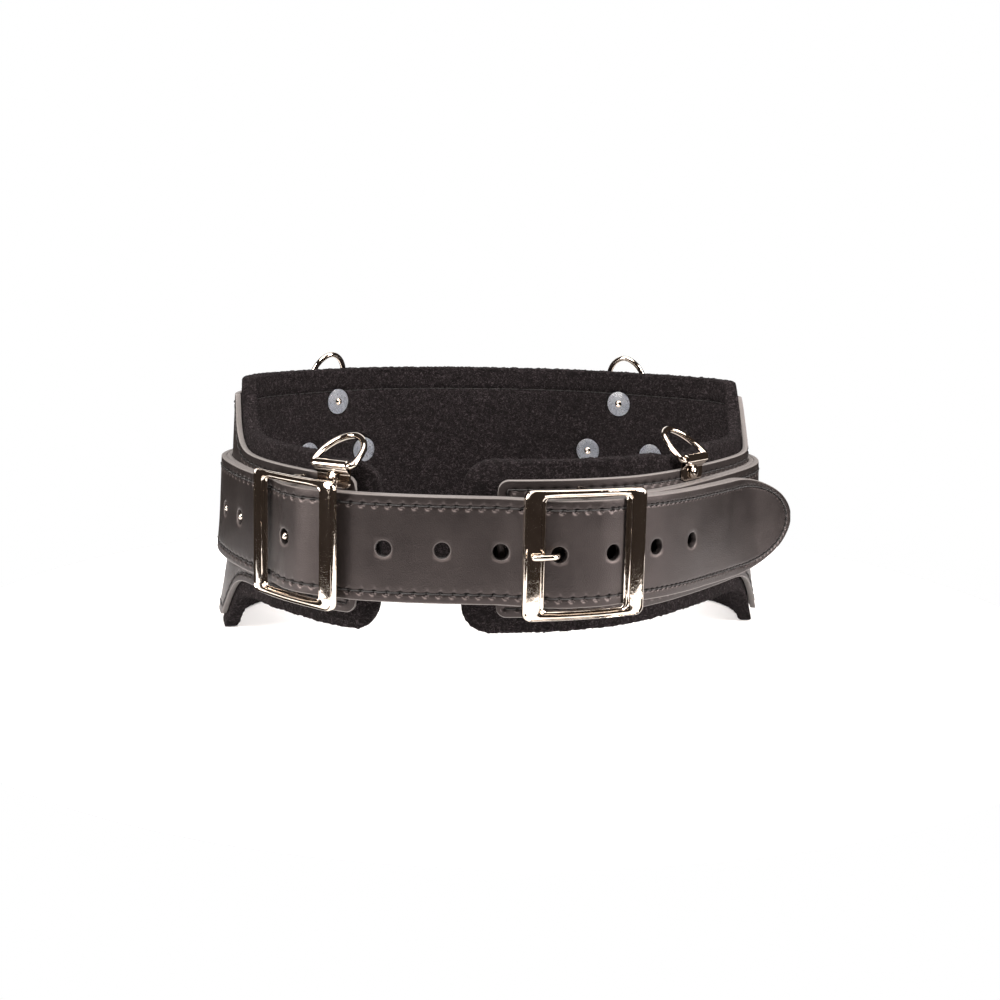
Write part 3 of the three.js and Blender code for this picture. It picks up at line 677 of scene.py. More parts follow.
def make_strap(leather, thread):
    seam = strap_seam()
    half_line = STRAP_HALF - SEAM_INSET
    straight = [q for q, z in seam.holes if q < Q_TO - TIP_LENGTH - 2]
    columns = stitch_columns(Q_FROM, Q_TO - TIP_LENGTH, straight, (-1.4, -0.7, 0, 0.7, 1.4), 1.8)
    turn = np.linspace(0, 1, 90)[1:]
    tip = Q_TO - TIP_LENGTH + TIP_LENGTH * np.sin(turn * math.pi / 2)
    columns = with_ends(np.concatenate([columns, tip[:-1], [Q_TO]]), Q_FROM, Q_TO, 0.8)
    rows = seam_rows(-STRAP_HALF, STRAP_HALF, (-half_line, half_line), 2.6)
    half = strap_half(strap_s(columns))
    shrink = (half / STRAP_HALF)[:, None]
    sheet = Sheet(columns, rows[None, :] * shrink, -half, half, STRAP_THICK, 0.9, plies=2)
    for q in HOLES_Q.values():
        sheet.punch(q, 0.0, HOLE_PROFILE)
    flat, faces, edge = sheet.build()
    dent = seam.dent(flat[:, 0], flat[:, 1], 1.4, 0.35)
    face = flat[:, 2] < 0.7
    back = flat[:, 2] > STRAP_THICK - 0.7
    flat[:, 2] += np.where(face, dent, 0) - np.where(back, 0.6 * dent, 0)
    flat[:, 2] += np.where(face, 0.12 * noise(flat * [1, 1, 0], 60, 3), 0)
    flat[:, 2] += np.where(edge > 0.5, 0, 0.03 * noise(flat * [1, 1, 0], 9, 4) * face)
    mesh_points = strap_wrap(flat[:, 0], flat[:, 1], flat[:, 2])
    # Stitch depth and hole marks kept for the material: painted shade in the pits and hole throats, painted
    # highlight on the lips below them.
    wear_and_painted_light = np.where(face | back, dent, 0) + hole_shade_and_highlight(flat)
    piece = make_piece("strap_leather_body", mesh_points, faces, leather, edge, dent=wear_and_painted_light)
    flat_uv(piece, flat)
    finish_piece(piece, "belt", "strap_leather", "belt_strap")
    front = seam.thread(strap_lift)
    behind = seam.thread(lambda q, z, lift: strap_wrap(q, z, STRAP_THICK + np.asarray(lift)))
    threads = make_piece("strap_thread", *joined([front, behind]), thread)
    finish_piece(threads, "belt", "strap_leather")


def hole_shade_and_highlight(flat):
    """Painted shade in the throats of the punched holes and a painted highlight on the lower half of their
    lips.
    """
    wear_and_painted_light = np.zeros(len(flat))
    for q in HOLES_Q.values():
        far = np.hypot(flat[:, 0] - q, flat[:, 1])
        lip = np.exp(-(((far - 7.4) / 0.7) ** 2)) * (flat[:, 2] < 1)
        lip = lip * np.clip(-flat[:, 1] / 6, 0, 1)
        wear_and_painted_light += np.where(far < 12, 0.75 * (far < 6.2) - 0.12 * lip, 0)
    return wear_and_painted_light


def make_strap_fold(leather):
    """The start of the strap folded round the right buckle's bar and slotted for the prong."""
    place = belt_frame(RIGHT_BUCKLE, RIGHT_BAR_OFFSET, float(strap_middle(STRAP_FROM)))
    outer = BAR_BORE + CHAPE_PLY
    inner = BAR_BORE
    low = GAP - RIGHT_BAR_OFFSET
    arc = np.radians(np.linspace(-90, 92, 24))
    back = np.linspace(0.12, 1, 9)
    lap = GAP + STRAP_THICK - RIGHT_BAR_OFFSET
    out_line = [(-FOLD_TAIL + FOLD_TAIL * t, low) for t in np.linspace(0, 0.95, 8)]
    out_line += [(outer * math.cos(a), outer * math.sin(a)) for a in arc]
    out_line += [(-15 * t, outer + (lap - outer) * smooth(0, 1, t)) for t in back]
    in_line = [(-FOLD_TAIL + FOLD_TAIL * t, min(low + CHAPE_PLY, -inner))
               for t in np.linspace(0, 0.95, 8)]
    in_line += [(inner * math.cos(a), inner * math.sin(a)) for a in arc]
    in_line += [(-15 * t, inner + (lap - outer) * smooth(0, 1, t)) for t in back]
    out_line, in_line = np.array(out_line), np.array(in_line)
    slot = 3 * PRONG_RADIUS / 2 + 1
    parts = []
    for z0, z1 in ((-STRAP_HALF, -slot), (slot, STRAP_HALF)):
        middle = list(np.linspace(z0 + 2, z1 - 2, 12))
        zs = np.array([z0, z0 + 0.35, z0 + 0.9] + middle + [z1 - 0.9, z1 - 0.35, z1])
        inset = np.array([0.9, 0.3, 0] + [0] * 12 + [0, 0.3, 0.9])
        points, faces = [], []
        size = len(out_line) + len(in_line)
        for z, i in zip(zs, inset):
            span = out_line - in_line
            span = span / np.linalg.norm(span, axis=1)[:, None]
            loop = np.vstack([out_line - span * i, (in_line + span * i)[::-1]])
            points.append(np.column_stack([loop, np.full(size, z)]))
        for r in range(len(zs) - 1):
            for m in range(size):
                n = (m + 1) % size
                faces.append([r * size + m, r * size + n, (r + 1) * size + n, (r + 1) * size + m])
        for base in (0, (len(zs) - 1) * size):
            half = size // 2
            for m in range(half - 1):
                faces.append([base + m, base + m + 1, base + size - 2 - m, base + size - 1 - m])
        parts.append((np.vstack(points), faces))
    points, faces = joined(parts)
    piece = make_piece("strap_fold", placed(points, place), faces, leather, np.zeros(len(points)))
    flat_uv(piece, points[:, [0, 2, 1]])
    finish_piece(piece, "belt", "strap_leather")


def flat_uv(piece, flat):
    """Keeps the flat length and height of each point, in metres, for the materials."""
    layer = piece.data.attributes.new("flat", "FLOAT_VECTOR", "POINT")
    layer.data.foreach_set("vector", (np.asarray(flat, np.float32) * MM).ravel())


# ---- felt pad and leather backing ----
def pad_seam():
    """The stitch line round the backing: lower edge, left end, upper edge, right end."""
    s = np.arange(BACKING_RIGHT_END + PAD_SEAM_INSET, LENGTH + BACKING_LEFT_END - PAD_SEAM_INSET, 2.0)
    bottom, top = pad_edges(s, EDGE_INSET, BACKING_RIGHT_END - 40, BACKING_LEFT_END + 40, 1)
    lower = np.column_stack([s, bottom + PAD_SEAM_INSET])
    upper = np.column_stack([s, top - PAD_SEAM_INSET])[::-1]
    path = np.vstack([lower, upper, lower[:1]])
    return Seam(path, lambda at: FRONT_PITCH)


def seam_fraction_rows(bottom, top, inset, coarse_count, rim_rows=2):
    """Rows that follow both edges: close together about the two stitch lines, even between them."""
    fine = (-2.4, -1.2, -0.5, 0, 0.5, 1.2, 2.4)
    low = [bottom + inset + f for f in fine]
    high = [top - inset + f for f in fine]
    shares = [(k + 1) / (rim_rows + 1) for k in range(rim_rows)]
    outer_low = [bottom + (inset - 2.4) * t for t in shares]
    outer_high = [top - (inset - 2.4) * t for t in reversed(shares)]
    a, b = low[-1], high[0]
    between = [a + (b - a) * t for t in np.linspace(0, 1, coarse_count + 2)[1:-1]]
    return np.stack(outer_low + low + between + high + outer_high, 1)


def make_backing(leather, thread):
    seam = pad_seam()
    start, end = BACKING_RIGHT_END, LENGTH + BACKING_LEFT_END
    places = [a for a, b in seam.holes]
    columns = stitch_columns(start, end, places, (-1.2, 0, 1.2), 2.6)
    corner = BACKING_END_RADIUS * (1 - np.cos(np.linspace(0, math.pi / 2, 8)))
    columns = np.unique(np.concatenate([columns, start + corner, end - corner]).round(3))
    columns = thin_out(columns, 0.25)
    bottom, top = pad_edges(columns, EDGE_INSET, start, BACKING_LEFT_END, BACKING_END_RADIUS)
    rows = seam_fraction_rows(bottom, top, PAD_SEAM_INSET, 34)
    sheet = Sheet(columns, rows, bottom, top, BACKING_THICK, 0.7)
    flat, faces, edge = sheet.build()
    dent = seam.dent(flat[:, 0], flat[:, 1], 1.0, 0.3)
    face = flat[:, 2] < 0.6
    flat[:, 2] += np.where(face, dent, 0) + np.where(face, 0.15 * noise(flat * [1, 1, 0], 70, 5), 0)
    points = belt_points(flat[:, 0], -flat[:, 2], flat[:, 1])
    # The stitch depth goes to the leather material, which paints shade in the pits and a highlight on the
    # lips below them.
    piece = make_piece("backing_leather_body", points, faces, leather, edge, dent=np.where(face, dent, 0))
    flat_uv(piece, flat)
    finish_piece(piece, "belt", "backing_leather", "leather_backing")
    front = seam.thread(lambda a, b, lift: belt_points(a, lift, b))
    threads = make_piece("backing_thread", *front, thread)
    finish_piece(threads, "belt", "backing_leather")


def thin_out(values, least):
    keep = [values[0]]
    for v in values[1:-1]:
        if v - keep[-1] > least and values[-1] - v > least:
            keep.append(v)
    return np.array(keep + [values[-1]])


def washer_places():
    """Distance and height of each washer on the felt's inner face."""
    places = {}
    for name, (_, z, _) in RINGS.items():
        places[name + "_clip"] = (RING_S[name], z - RIVET_DROP)
    for name, at in STRAP_RIVETS.items():
        places[name + "_strap"] = (nearest(at), STRAP_RIVET_Z)
    return places


def make_felt(felt, thread):
    """The pad: thick felt with sunk stitches, dimples under the washers and a nap all over."""
    seam = pad_seam()
    start, end = PAD_RIGHT_END, LENGTH + PAD_LEFT_END
    places = [a for a, b in seam.holes]
    columns = stitch_columns(start, end, places, (-1.2, 0, 1.2), 1.8)
    corner = PAD_END_RADIUS * (1 - np.cos(np.linspace(0, math.pi / 2, 14)))
    columns = thin_out(np.unique(np.concatenate([columns, start + corner, end - corner]).round(3)), 0.25)
    bottom, top = pad_edges(columns, 0, start, PAD_LEFT_END, PAD_END_RADIUS)
    rows = seam_fraction_rows(bottom, top, PAD_SEAM_INSET + EDGE_INSET, 84, rim_rows=8)
    sheet = Sheet(columns, rows, bottom, top, FELT_THICK, 2.2)
    flat, faces, edge = sheet.build()
    inner = flat[:, 2] > FELT_THICK - 1
    outer = flat[:, 2] < 1
    dent = seam.dent(flat[:, 0], flat[:, 1], 0.9, 1.9, trench_wide=2.1)
    flat[:, 2] -= np.where(inner, dent, 0)
    for along, z in washer_places().values():
        far = np.hypot(flat[:, 0] - along, flat[:, 1] - z)
        sunk = 1.75 * (1 - smooth(WASHER_RADIUS + 0.2, WASHER_RADIUS + 5, far))
        flat[:, 2] -= np.where(inner, sunk, 0)
    press = np.zeros(len(flat))
    for name in ("front_left", "front_right"):
        far = np.abs(flat[:, 0] - RING_S[name])
        press = np.maximum(press, RING_PRESS * (1 - smooth(20, 36, far)))
    over = flat[:, 1] > PAD_MIDDLE + 20
    flat[:, 1] -= np.where(over, press * smooth(PAD_MIDDLE + 20, PAD_FRONT_TOP - 8, flat[:, 1]), 0)
    fuzz = matted(flat, 1.9) * 0.5 + matted(flat, 5) * 0.16 + 0.12 * noise(flat, 18, 12)
    flat[:, 2] += np.where(outer & (edge < 0.2), 0.2, np.where(inner, -1, 0.4)) * fuzz
    flat[:, 1] += np.where(edge > 0.2, 1, 0.05) * fuzz
    points = belt_points(flat[:, 0], FELT_OUTER - flat[:, 2], flat[:, 1])
    points[:, 2] = np.maximum(points[:, 2], 0.02)
    piece = make_piece("felt_pad_body", points, faces, felt, edge, flat_angle=80)
    flat_uv(piece, flat)
    finish_piece(piece, "belt", "felt", "felt_pad")

    def sunk(a, b, lift):
        return belt_points(a, FELT_INNER + 1.95 - np.asarray(lift) * 0.8, b)

    threads = make_piece("felt_thread", *seam.thread(sunk, 0.45), thread)
    finish_piece(threads, "belt", "felt")


# ---- buckles ----
def rounded_ring(half_x, half_z, corner, per_side=10, per_corner=6):
    """Points and outward directions round a rectangle with round corners."""
    points, outs = [], []
    corners = [(1, 1, 0), (-1, 1, 90), (-1, -1, 180), (1, -1, 270)]
    for sx, sz, first in corners:
        cx, cz = sx * (half_x - corner), sz * (half_z - corner)
        for a in np.radians(np.linspace(first, first + 90, per_corner)):
            points.append((cx + corner * math.cos(a), cz + corner * math.sin(a)))
            outs.append((math.cos(a), math.sin(a)))
    whole, whole_out = [], []
    for i in range(len(points)):
        j = (i + 1) % len(points)
        whole.append(points[i])
        whole_out.append(outs[i])
        if i % per_corner == per_corner - 1:
            for t in np.linspace(0, 1, per_side + 2)[1:-1]:
                whole.append(tuple(np.array(points[i]) * (1 - t) + np.array(points[j]) * t))
                whole_out.append(outs[i])
    return np.array(whole), np.array(whole_out)


def make_buckle(name, at, bar_offset, frame_offset, nickel):
    """A square frame with a rolled rim, a broad flat and a cove to its window; bar behind on lugs."""
    place = belt_frame(at, bar_offset, float(strap_middle(at)))
    rise = frame_offset - bar_offset
    outer, _ = rounded_ring(BUCKLE_WIDTH / 2, BUCKLE_HEIGHT / 2, FRAME_CORNER)
    inner, _ = rounded_ring(BUCKLE_WIDTH / 2 - SIDE_BAR, BUCKLE_HEIGHT / 2 - CROSS_BAR, WINDOW_CORNER)
    side = np.hypot(*(outer - inner).T)
    rim, cove = 2.2, 4.2
    thick = FRAME_THICK
    steps = [
        (0.0, 0, 0.45), (0.0, 0.0, 0.72), (0.35, 0, 0.93), (1.0, 0, 1.02), (1.7, 0, 0.96), (2.3, 0, 0.86),
        (2.9, 0, 0.9), (None, 0.35, 0.97), (None, 0.65, 0.97), (None, 1, 0.9), (-4.2, 0, 0.86),
        (-3.5, 0, 0.6), (-2.7, 0, 0.46), (-1.9, 0, 0.44), (-1.2, 0, 0.52), (-0.5, 0, 0.44), (0.0, 1, 0.3),
        (0.0, 1, 0.14), (-0.4, 0, 0.09), (0.4, -1, 0.09), (0.0, 0, 0.14),
    ]
    loops = []
    for along, share, height in steps:
        small = np.minimum(1, side / 10.5)
        if along is None:
            a = rim * small + (side - (rim + cove) * small) * share
        elif share == -1:
            a = np.full(len(side), 0.4)
        elif share == 1:
            a = side
        elif along < 0:
            a = side + along * small
        else:
            a = along * small
        t = (a / side)[:, None]
        flat = outer * (1 - t) + inner * t
        y = rise + thick * (height - 0.5) + bow(flat[:, 0])
        loops.append(np.column_stack([flat[:, 0], y, flat[:, 1]]))
    parts = [(np.vstack(loops), walls(len(loops), len(outer), closed=True))]
    half = BUCKLE_HEIGHT / 2 - CROSS_BAR / 2
    bar_z = np.linspace(-half, half, 24)
    parts.append(swept(np.column_stack([0 * bar_z, 0 * bar_z, bar_z]), BAR_RADIUS, 24))
    for z in (-half, half):
        depths = (-BAR_RADIUS * 0.6, rise * 0.3, rise * 0.7, rise - thick * 0.2)
        lug = smooth_path([(0, y, z) for y in depths])
        parts.append(swept(lug, 2.9, 20))
    points, faces = joined(parts)
    piece = make_piece(f"{name}_buckle_body", placed(points, place), faces, nickel, flat_angle=38)
    finish_piece(piece, f"{name}_buckle_frame", "nickel", f"{name}_buckle_frame")
    return place


def bow(x):
    """How far the frame stands back from its middle at a distance to the side."""
    return -(FRAME_BOW - np.sqrt(FRAME_BOW ** 2 - np.asarray(x) ** 2))


def make_prong(place, nickel):
    over = PRONG_LIES_AT
    path = smooth_path(PRONG_BEHIND + [
        (25, over + 1.2, 0), (31.5, over + 1.7, 0), (PRONG_REACH, over + 0.2, 0),
    ])
    along = np.linspace(0, 1, len(path))
    radius = PRONG_RADIUS * (1 - 0.1 * along)
    tip = path[-1] - path[-2]
    tip /= np.linalg.norm(tip)
    ends = [(0.5, 0.96), (1.1, 0.83), (1.6, 0.62), (1.9, 0.34), (2.0, 0.06)]
    more = np.array([path[-1] + tip * d for d, _ in ends])
    path = np.vstack([path, more])
    radius = np.concatenate([radius, [radius[-1] * r for _, r in ends]])
    finger = swept(path, radius, 18)
    ring, ring_faces = washer_shape(BAR_BORE, BAR_RADIUS + 2.2, -3, 3, 32)
    points, faces = joined([finger, (ring[:, [0, 2, 1]], ring_faces)])
    piece = make_piece("right_prong_body", placed(points, place), faces, nickel)
    finish_piece(piece, "right_buckle_prong", "nickel", "right_buckle_prong")


# ---- rings, clips, rivets ----
def rotate_x(points, degrees):
    a = math.radians(degrees)
    turn = np.array([[1, 0, 0], [0, math.cos(a), -math.sin(a)], [0, math.sin(a), math.cos(a)]])
    return np.asarray(points) @ turn.T


def make_ring(name, nickel):
    _, z, lean = RINGS[name]
    place = belt_frame(RING_S[name], RING_OFFSET, z)
    half = RING_HALF
    turn = np.linspace(0, math.pi, 64)
    arch_x = half * np.cos(turn) * (1 + RING_SWELL * np.sin(turn) * np.abs(np.cos(turn)))
    arch_z = RING_RISE * np.sin(turn)
    bar_x = np.linspace(-half, half, 22)[1:-1]
    path = np.vstack([
        np.column_stack([arch_x, 0 * arch_x, arch_z]),
        np.column_stack([bar_x, 0 * bar_x, 0 * bar_x]),
    ])
    for _ in range(3):
        corner = np.abs(np.abs(path[:, 0]) - half) + np.abs(path[:, 2]) < 4.5
        path = np.where(corner[:, None], (np.roll(path, 1, 0) + path * 2 + np.roll(path, -1, 0)) / 4, path)
    points, faces = swept(path, WIRE_RADIUS, 20, closed=True)
    points = rotate_x(points, lean)
    piece = make_piece(f"{name}_d_ring_body", placed(points, place), faces, nickel)
    finish_piece(piece, f"{name}_d_ring", "nickel", f"{name}_d_ring")
    return place


def clip_outline(width, drop, corner):
    """Half-width of the clip's leg at each height: straight, then two round lower corners."""
    straight = drop - corner
    turned = -straight - corner * np.sin(np.linspace(0.15, 1.5, 8))
    zs = np.concatenate([np.linspace(0, -straight, 10), turned])
    below = np.clip(-zs - straight, 0, corner)
    return zs, width / 2 - corner + np.sqrt(np.maximum(corner ** 2 - below ** 2, 0.01))


def make_clip(name, place, nickel):
    """A sheet folded over the ring's bar, both legs lying together behind it and riveted."""
    mid = CLIP_BORE + CLIP_SHEET / 2
    back_y = -mid
    legs, half = clip_outline(CLIP_WIDTH, CLIP_DROP, CLIP_CORNER)
    line = [(back_y, z, w) for z, w in zip(legs[::-1], half[::-1])]
    turn = np.radians(np.linspace(0, 250, 40))
    roll = [(-mid * math.cos(a), mid * math.sin(a), CLIP_WIDTH / 2) for a in turn]
    line += roll[1:]
    front_leg = []
    start_y, start_z = roll[-1][0], roll[-1][1]
    for t in np.linspace(0.2, 1, 6):
        y = start_y + (back_y + CLIP_SHEET + 0.1 - start_y) * smooth(0, 1, t)
        z = start_z - 4 * t
        front_leg.append((y, z, CLIP_WIDTH / 2))
    last_z = front_leg[-1][1]
    for z, w in zip(legs, half):
        if z < last_z - 0.5:
            front_leg.append((back_y + CLIP_SHEET + 0.1, z, w))
    line += front_leg
    line = np.array(line)
    mids = line[:, :2]
    along = np.gradient(mids, axis=0)
    along /= np.maximum(np.linalg.norm(along, axis=1), 1e-6)[:, None]
    across = np.column_stack([-along[:, 1], along[:, 0]]) * CLIP_SHEET / 2
    profile = [(-1, -0.25), (-0.97, -1), (0.97, -1), (1, -0.25),
               (1, 0.25), (0.97, 1), (-0.97, 1), (-1, 0.25)]
    points = []
    for (y, z), n, w in zip(mids, across, line[:, 2]):
        for px, pt in profile:
            points.append((px * w, y + n[0] * pt, z + n[1] * pt))
    faces = walls(len(mids), len(profile)) + caps(len(mids), len(profile))
    piece = make_piece(f"{name}_ring_clip_body", placed(points, place), faces, nickel, flat_angle=35)
    finish_piece(piece, "belt", "nickel", f"{name}_ring_clip")


def make_rivet(name, s, z, seat, cap_radius, cap_height, nickel):
    """A stepped cap outside, a shank through the layers and a peened tail over its washer inside."""
    place = belt_frame(s, 0, z)
    r, h = cap_radius, cap_height
    cap = [
        (0.01, seat + h), (0.3 * r, seat + h * 0.985), (0.52 * r, seat + h * 0.9),
        (0.62 * r, seat + h * 0.74),
        (0.66 * r, seat + h * 0.62), (0.78 * r, seat + h * 0.6), (0.93 * r, seat + h * 0.48),
        (r, seat + h * 0.26), (r * 0.99, seat + h * 0.08), (r * 0.94, seat), (SHANK, seat),
    ]
    tail_seat = WASHER_FACE
    tail = [
        (SHANK, tail_seat), (TAIL_RADIUS, tail_seat - 0.1), (TAIL_RADIUS * 1.02, tail_seat - 0.5),
        (TAIL_RADIUS * 0.86, tail_seat - 1.0), (TAIL_RADIUS * 0.55, tail_seat - 1.2),
        (TAIL_RADIUS * 0.42, tail_seat - 0.85), (0.01, tail_seat - 0.7),
    ]
    points, faces = lathe(cap + tail, 40)
    piece = make_piece(f"{name}_body", placed(points, place), faces, nickel, flat_angle=50)
    finish_piece(piece, "belt", "nickel", name)


def make_washer(name, s, z, plastic):
    place = belt_frame(s, 0, z)
    points, faces = washer_shape(2.25, WASHER_RADIUS, WASHER_FACE + 0.05, WASHER_SEAT - GAP, 48)
    piece = make_piece(f"{name}_body", placed(points, place), faces, plastic, flat_angle=50)
    finish_piece(piece, "belt", "washer_plastic", name)


def make_stud(number, count, nickel):
    """A ball-headed stud: flange behind the strap, waist and ball in the hole."""
    q = HOLES_Q[count]
    s = float(strap_s(q))
    face = float(strap_inner(s)) + STRAP_THICK
    place = belt_frame(s, 0, float(strap_middle(s)))
    ball = face + STUD_SEAT
    profile = [(0.01, ball + STUD_BALL)]
    for a in np.radians([15, 30, 45, 60, 75, 90, 105, 120, 135]):
        profile.append((STUD_BALL * math.sin(a), ball + STUD_BALL * math.cos(a)))
    back = -GAP
    profile += [(SHANK, ball - STUD_BALL * 0.95), (SHANK, back), (STUD_FLANGE - 0.3, back),
                (STUD_FLANGE, back - 0.4), (STUD_FLANGE, STUD_SEAT + 0.3),
                (STUD_FLANGE - 0.3, STUD_SEAT), (0.01, STUD_SEAT)]
    points, faces = lathe(profile, 36)
    piece = make_piece(f"left_stud_{number}_body", placed(points, place), faces, nickel, flat_angle=50)
    finish_piece(piece, "belt", "nickel", f"left_stud_{number}")


# ---- materials ----
class Nodes:
    """Short names for building one material's nodes."""

    def __init__(self, name):
        self.material = bpy.data.materials.new(name)
        self.material.use_nodes = True
        self.tree = self.material.node_tree
        self.tree.nodes.clear()
        self.shader = self.tree.nodes.new("ShaderNodeBsdfPrincipled")
        out = self.tree.nodes.new("ShaderNodeOutputMaterial")
        self.tree.links.new(self.shader.outputs[0], out.inputs[0])

    def put(self, socket, value):
        if isinstance(value, bpy.types.NodeSocket):
            self.tree.links.new(value, socket)
        elif isinstance(value, (tuple, list)) and socket.type == "RGBA":
            socket.default_value = (*value[:3], 1)
        else:
            socket.default_value = value

    def set(self, **inputs):
        for name, value in inputs.items():
            self.put(self.shader.inputs[name.replace("_", " ")], value)
        return self.material

    def attribute(self, name, output):
        node = self.tree.nodes.new("ShaderNodeAttribute")
        node.attribute_name = name
        return node.outputs[output]

    def place(self, flat):
        if flat:
            return self.attribute("flat", "Vector")
        return self.tree.nodes.new("ShaderNodeTexCoord").outputs["Object"]

    def stretched(self, vector, scale):
        node = self.tree.nodes.new("ShaderNodeMapping")
        self.put(node.inputs["Vector"], vector)
        node.inputs["Scale"].default_value = scale
        return node.outputs[0]

    def noise(self, vector, per_metre, detail=4, rough=0.55, distortion=0.0):
        node = self.tree.nodes.new("ShaderNodeTexNoise")
        self.put(node.inputs["Vector"], vector)
        node.inputs["Scale"].default_value = per_metre
        node.inputs["Detail"].default_value = detail
        node.inputs["Roughness"].default_value = rough
        node.inputs["Distortion"].default_value = distortion
        return node.outputs[0]

    def cells(self, vector, per_metre, feature="F1"):
        node = self.tree.nodes.new("ShaderNodeTexVoronoi")
        node.feature = feature
        self.put(node.inputs["Vector"], vector)
        node.inputs["Scale"].default_value = per_metre
        return node.outputs["Distance"]

    def ramp(self, value, low, high, to_low=0.0, to_high=1.0):
        node = self.tree.nodes.new("ShaderNodeMapRange")
        keys = ("Value", "From Min", "From Max", "To Min", "To Max")
        for key, v in zip(keys, (value, low, high, to_low, to_high)):
            self.put(node.inputs[key], v)
        return node.outputs[0]

    def mix(self, share, a, b):
        node = self.tree.nodes.new("ShaderNodeMix")
        node.data_type = "RGBA"
        self.put(node.inputs[0], share)
        self.put(node.inputs[6], a)
        self.put(node.inputs[7], b)
        return node.outputs[2]

    def sum(self, *terms):
        total = None
        for value, weight in terms:
            node = self.tree.nodes.new("ShaderNodeMath")
            node.operation = "MULTIPLY_ADD"
            self.put(node.inputs[0], value)
            node.inputs[1].default_value = weight
            self.put(node.inputs[2], total if total is not None else 0.0)
            total = node.outputs[0]
        return total

    def bump(self, height, metres, strength=1.0):
        node = self.tree.nodes.new("ShaderNodeBump")
        node.inputs["Strength"].default_value = strength
        node.inputs["Distance"].default_value = metres
        self.put(node.inputs["Height"], height)
        return node.outputs[0]


LEATHER_SHEEN = (1.0, 0.86, 0.84)


def leather_material(name, dark, light, edge_colour, roughness):
    """Smooth finished leather: pebbled grain, pores, faint mottling, and a paler rough cut edge, with
    painted shade in stitch pits and hole throats and painted highlights on the lips below them.
    """
    n = Nodes(name)
    at = n.place(flat=True)
    mottle = n.noise(at, 28, 5, 0.6)
    grain = n.cells(at, 1250)
    pores = n.noise(at, 900, 3, 0.7)
    rub = n.noise(n.stretched(at, (0.35, 1.5, 1)), 120, 4, 0.6)
    fibre = n.noise(n.stretched(at, (0.3, 0.3, 2.2)), 1800, 3, 0.7)
    colour = n.mix(n.ramp(mottle, 0.35, 0.7), dark, light)
    wear_and_painted_light = n.ramp(rub, 0.56, 0.78, 0, 0.25)
    colour = n.mix(wear_and_painted_light, colour, tuple(c * 1.6 for c in light))
    rim = n.mix(n.ramp(fibre, 0.3, 0.7), edge_colour, tuple(c * 0.62 for c in edge_colour))
    share = n.ramp(n.attribute("edge", "Fac"), 0.25, 0.6)
    colour = n.mix(share, colour, rim)
    dent = n.attribute("dent", "Fac")
    # Painted shade: stitch pits and hole throats darkened nearly to black by their depth.
    colour = n.mix(n.ramp(dent, 0.15, 0.7), colour, (0.003, 0.003, 0.003))
    # Painted highlight: raised stitch and hole lips lightened, mostly those below the pits.
    colour = n.mix(n.ramp(dent, -0.02, -0.2, 0, 0.8), colour, tuple(c * 16 for c in light))
    rough = n.sum((mottle, 0.22), (pores, 0.12), (share, 0.28), (1.0, roughness - 0.17))
    height = n.sum((grain, 0.55), (pores, 0.5), (fibre, 0.25), (rub, 0.6))
    return n.set(Base_Color=colour, Roughness=rough, Normal=n.bump(height, 0.00016), Specular_IOR_Level=0.5,
                 Specular_Tint=LEATHER_SHEEN)


def felt_material():
    """Dense black felt: matted fibres, pale flecks, no shine."""
    n = Nodes("felt")
    at = n.place(flat=False)
    fibres = n.noise(at, 380, 5, 0.8, 1.5)
    strands = n.noise(n.stretched(at, (1, 1, 2.2)), 240, 5, 0.75, 2.5)
    clumps = n.noise(at, 130, 4, 0.65)
    fleck = n.ramp(n.sum((fibres, 0.6), (strands, 0.4)), 0.5, 0.6)
    colour = n.mix(fleck, (0.0012, 0.0009, 0.001), (0.07, 0.057, 0.062))
    colour = n.mix(n.ramp(clumps, 0.45, 0.7, 0, 0.3), colour, (0.008, 0.0062, 0.007))
    height = n.sum((fibres, 1.0), (strands, 1.2), (clumps, 0.8))
    return n.set(Base_Color=colour, Roughness=0.95, Normal=n.bump(height, 0.0045), Sheen_Weight=0.03,
                 Sheen_Roughness=0.6, Sheen_Tint=(1.0, 0.86, 0.88, 1.0), Specular_IOR_Level=0.06)


def thread_material():
    """Waxed black thread with its twist."""
    n = Nodes("thread")
    at = n.place(flat=False)
    twist = n.noise(n.stretched(at, (1, 1, 2.5)), 1900, 2, 0.5, 1.0)
    colour = n.mix(n.ramp(twist, 0.3, 0.7), (0.003, 0.003, 0.003), (0.014, 0.012, 0.012))
    return n.set(Base_Color=colour, Roughness=n.ramp(twist, 0, 1, 0.4, 0.65), Normal=n.bump(twist, 0.0002))


def nickel_material():
    """Polished nickel plate: bright, with soft casting waviness, haze and hairline scratches."""
    n = Nodes("nickel")
    at = n.place(flat=False)
    haze = n.noise(at, 60, 5, 0.6)
    wave = n.noise(at, 130, 2, 0.5)
    scratch = n.noise(n.stretched(at, (1, 1, 14)), 320, 6, 0.75, 0.3)
    line = n.ramp(scratch, 0.6, 0.66)
    spots = n.ramp(n.noise(at, 650, 3, 0.6), 0.66, 0.74)
    colour = n.mix(n.ramp(haze, 0.35, 0.7), (0.66, 0.59, 0.52), (0.50, 0.43, 0.36))
    colour = n.mix(n.sum((spots, 0.35)), colour, (0.32, 0.29, 0.25))
    rough = n.sum((haze, 0.07), (line, 0.1), (spots, 0.16), (1.0, 0.03))
    height = n.sum((wave, 1.0), (line, -0.06), (spots, -0.1))
    return n.set(Base_Color=colour, Metallic=1.0, Roughness=rough, Normal=n.bump(height, 0.00008))


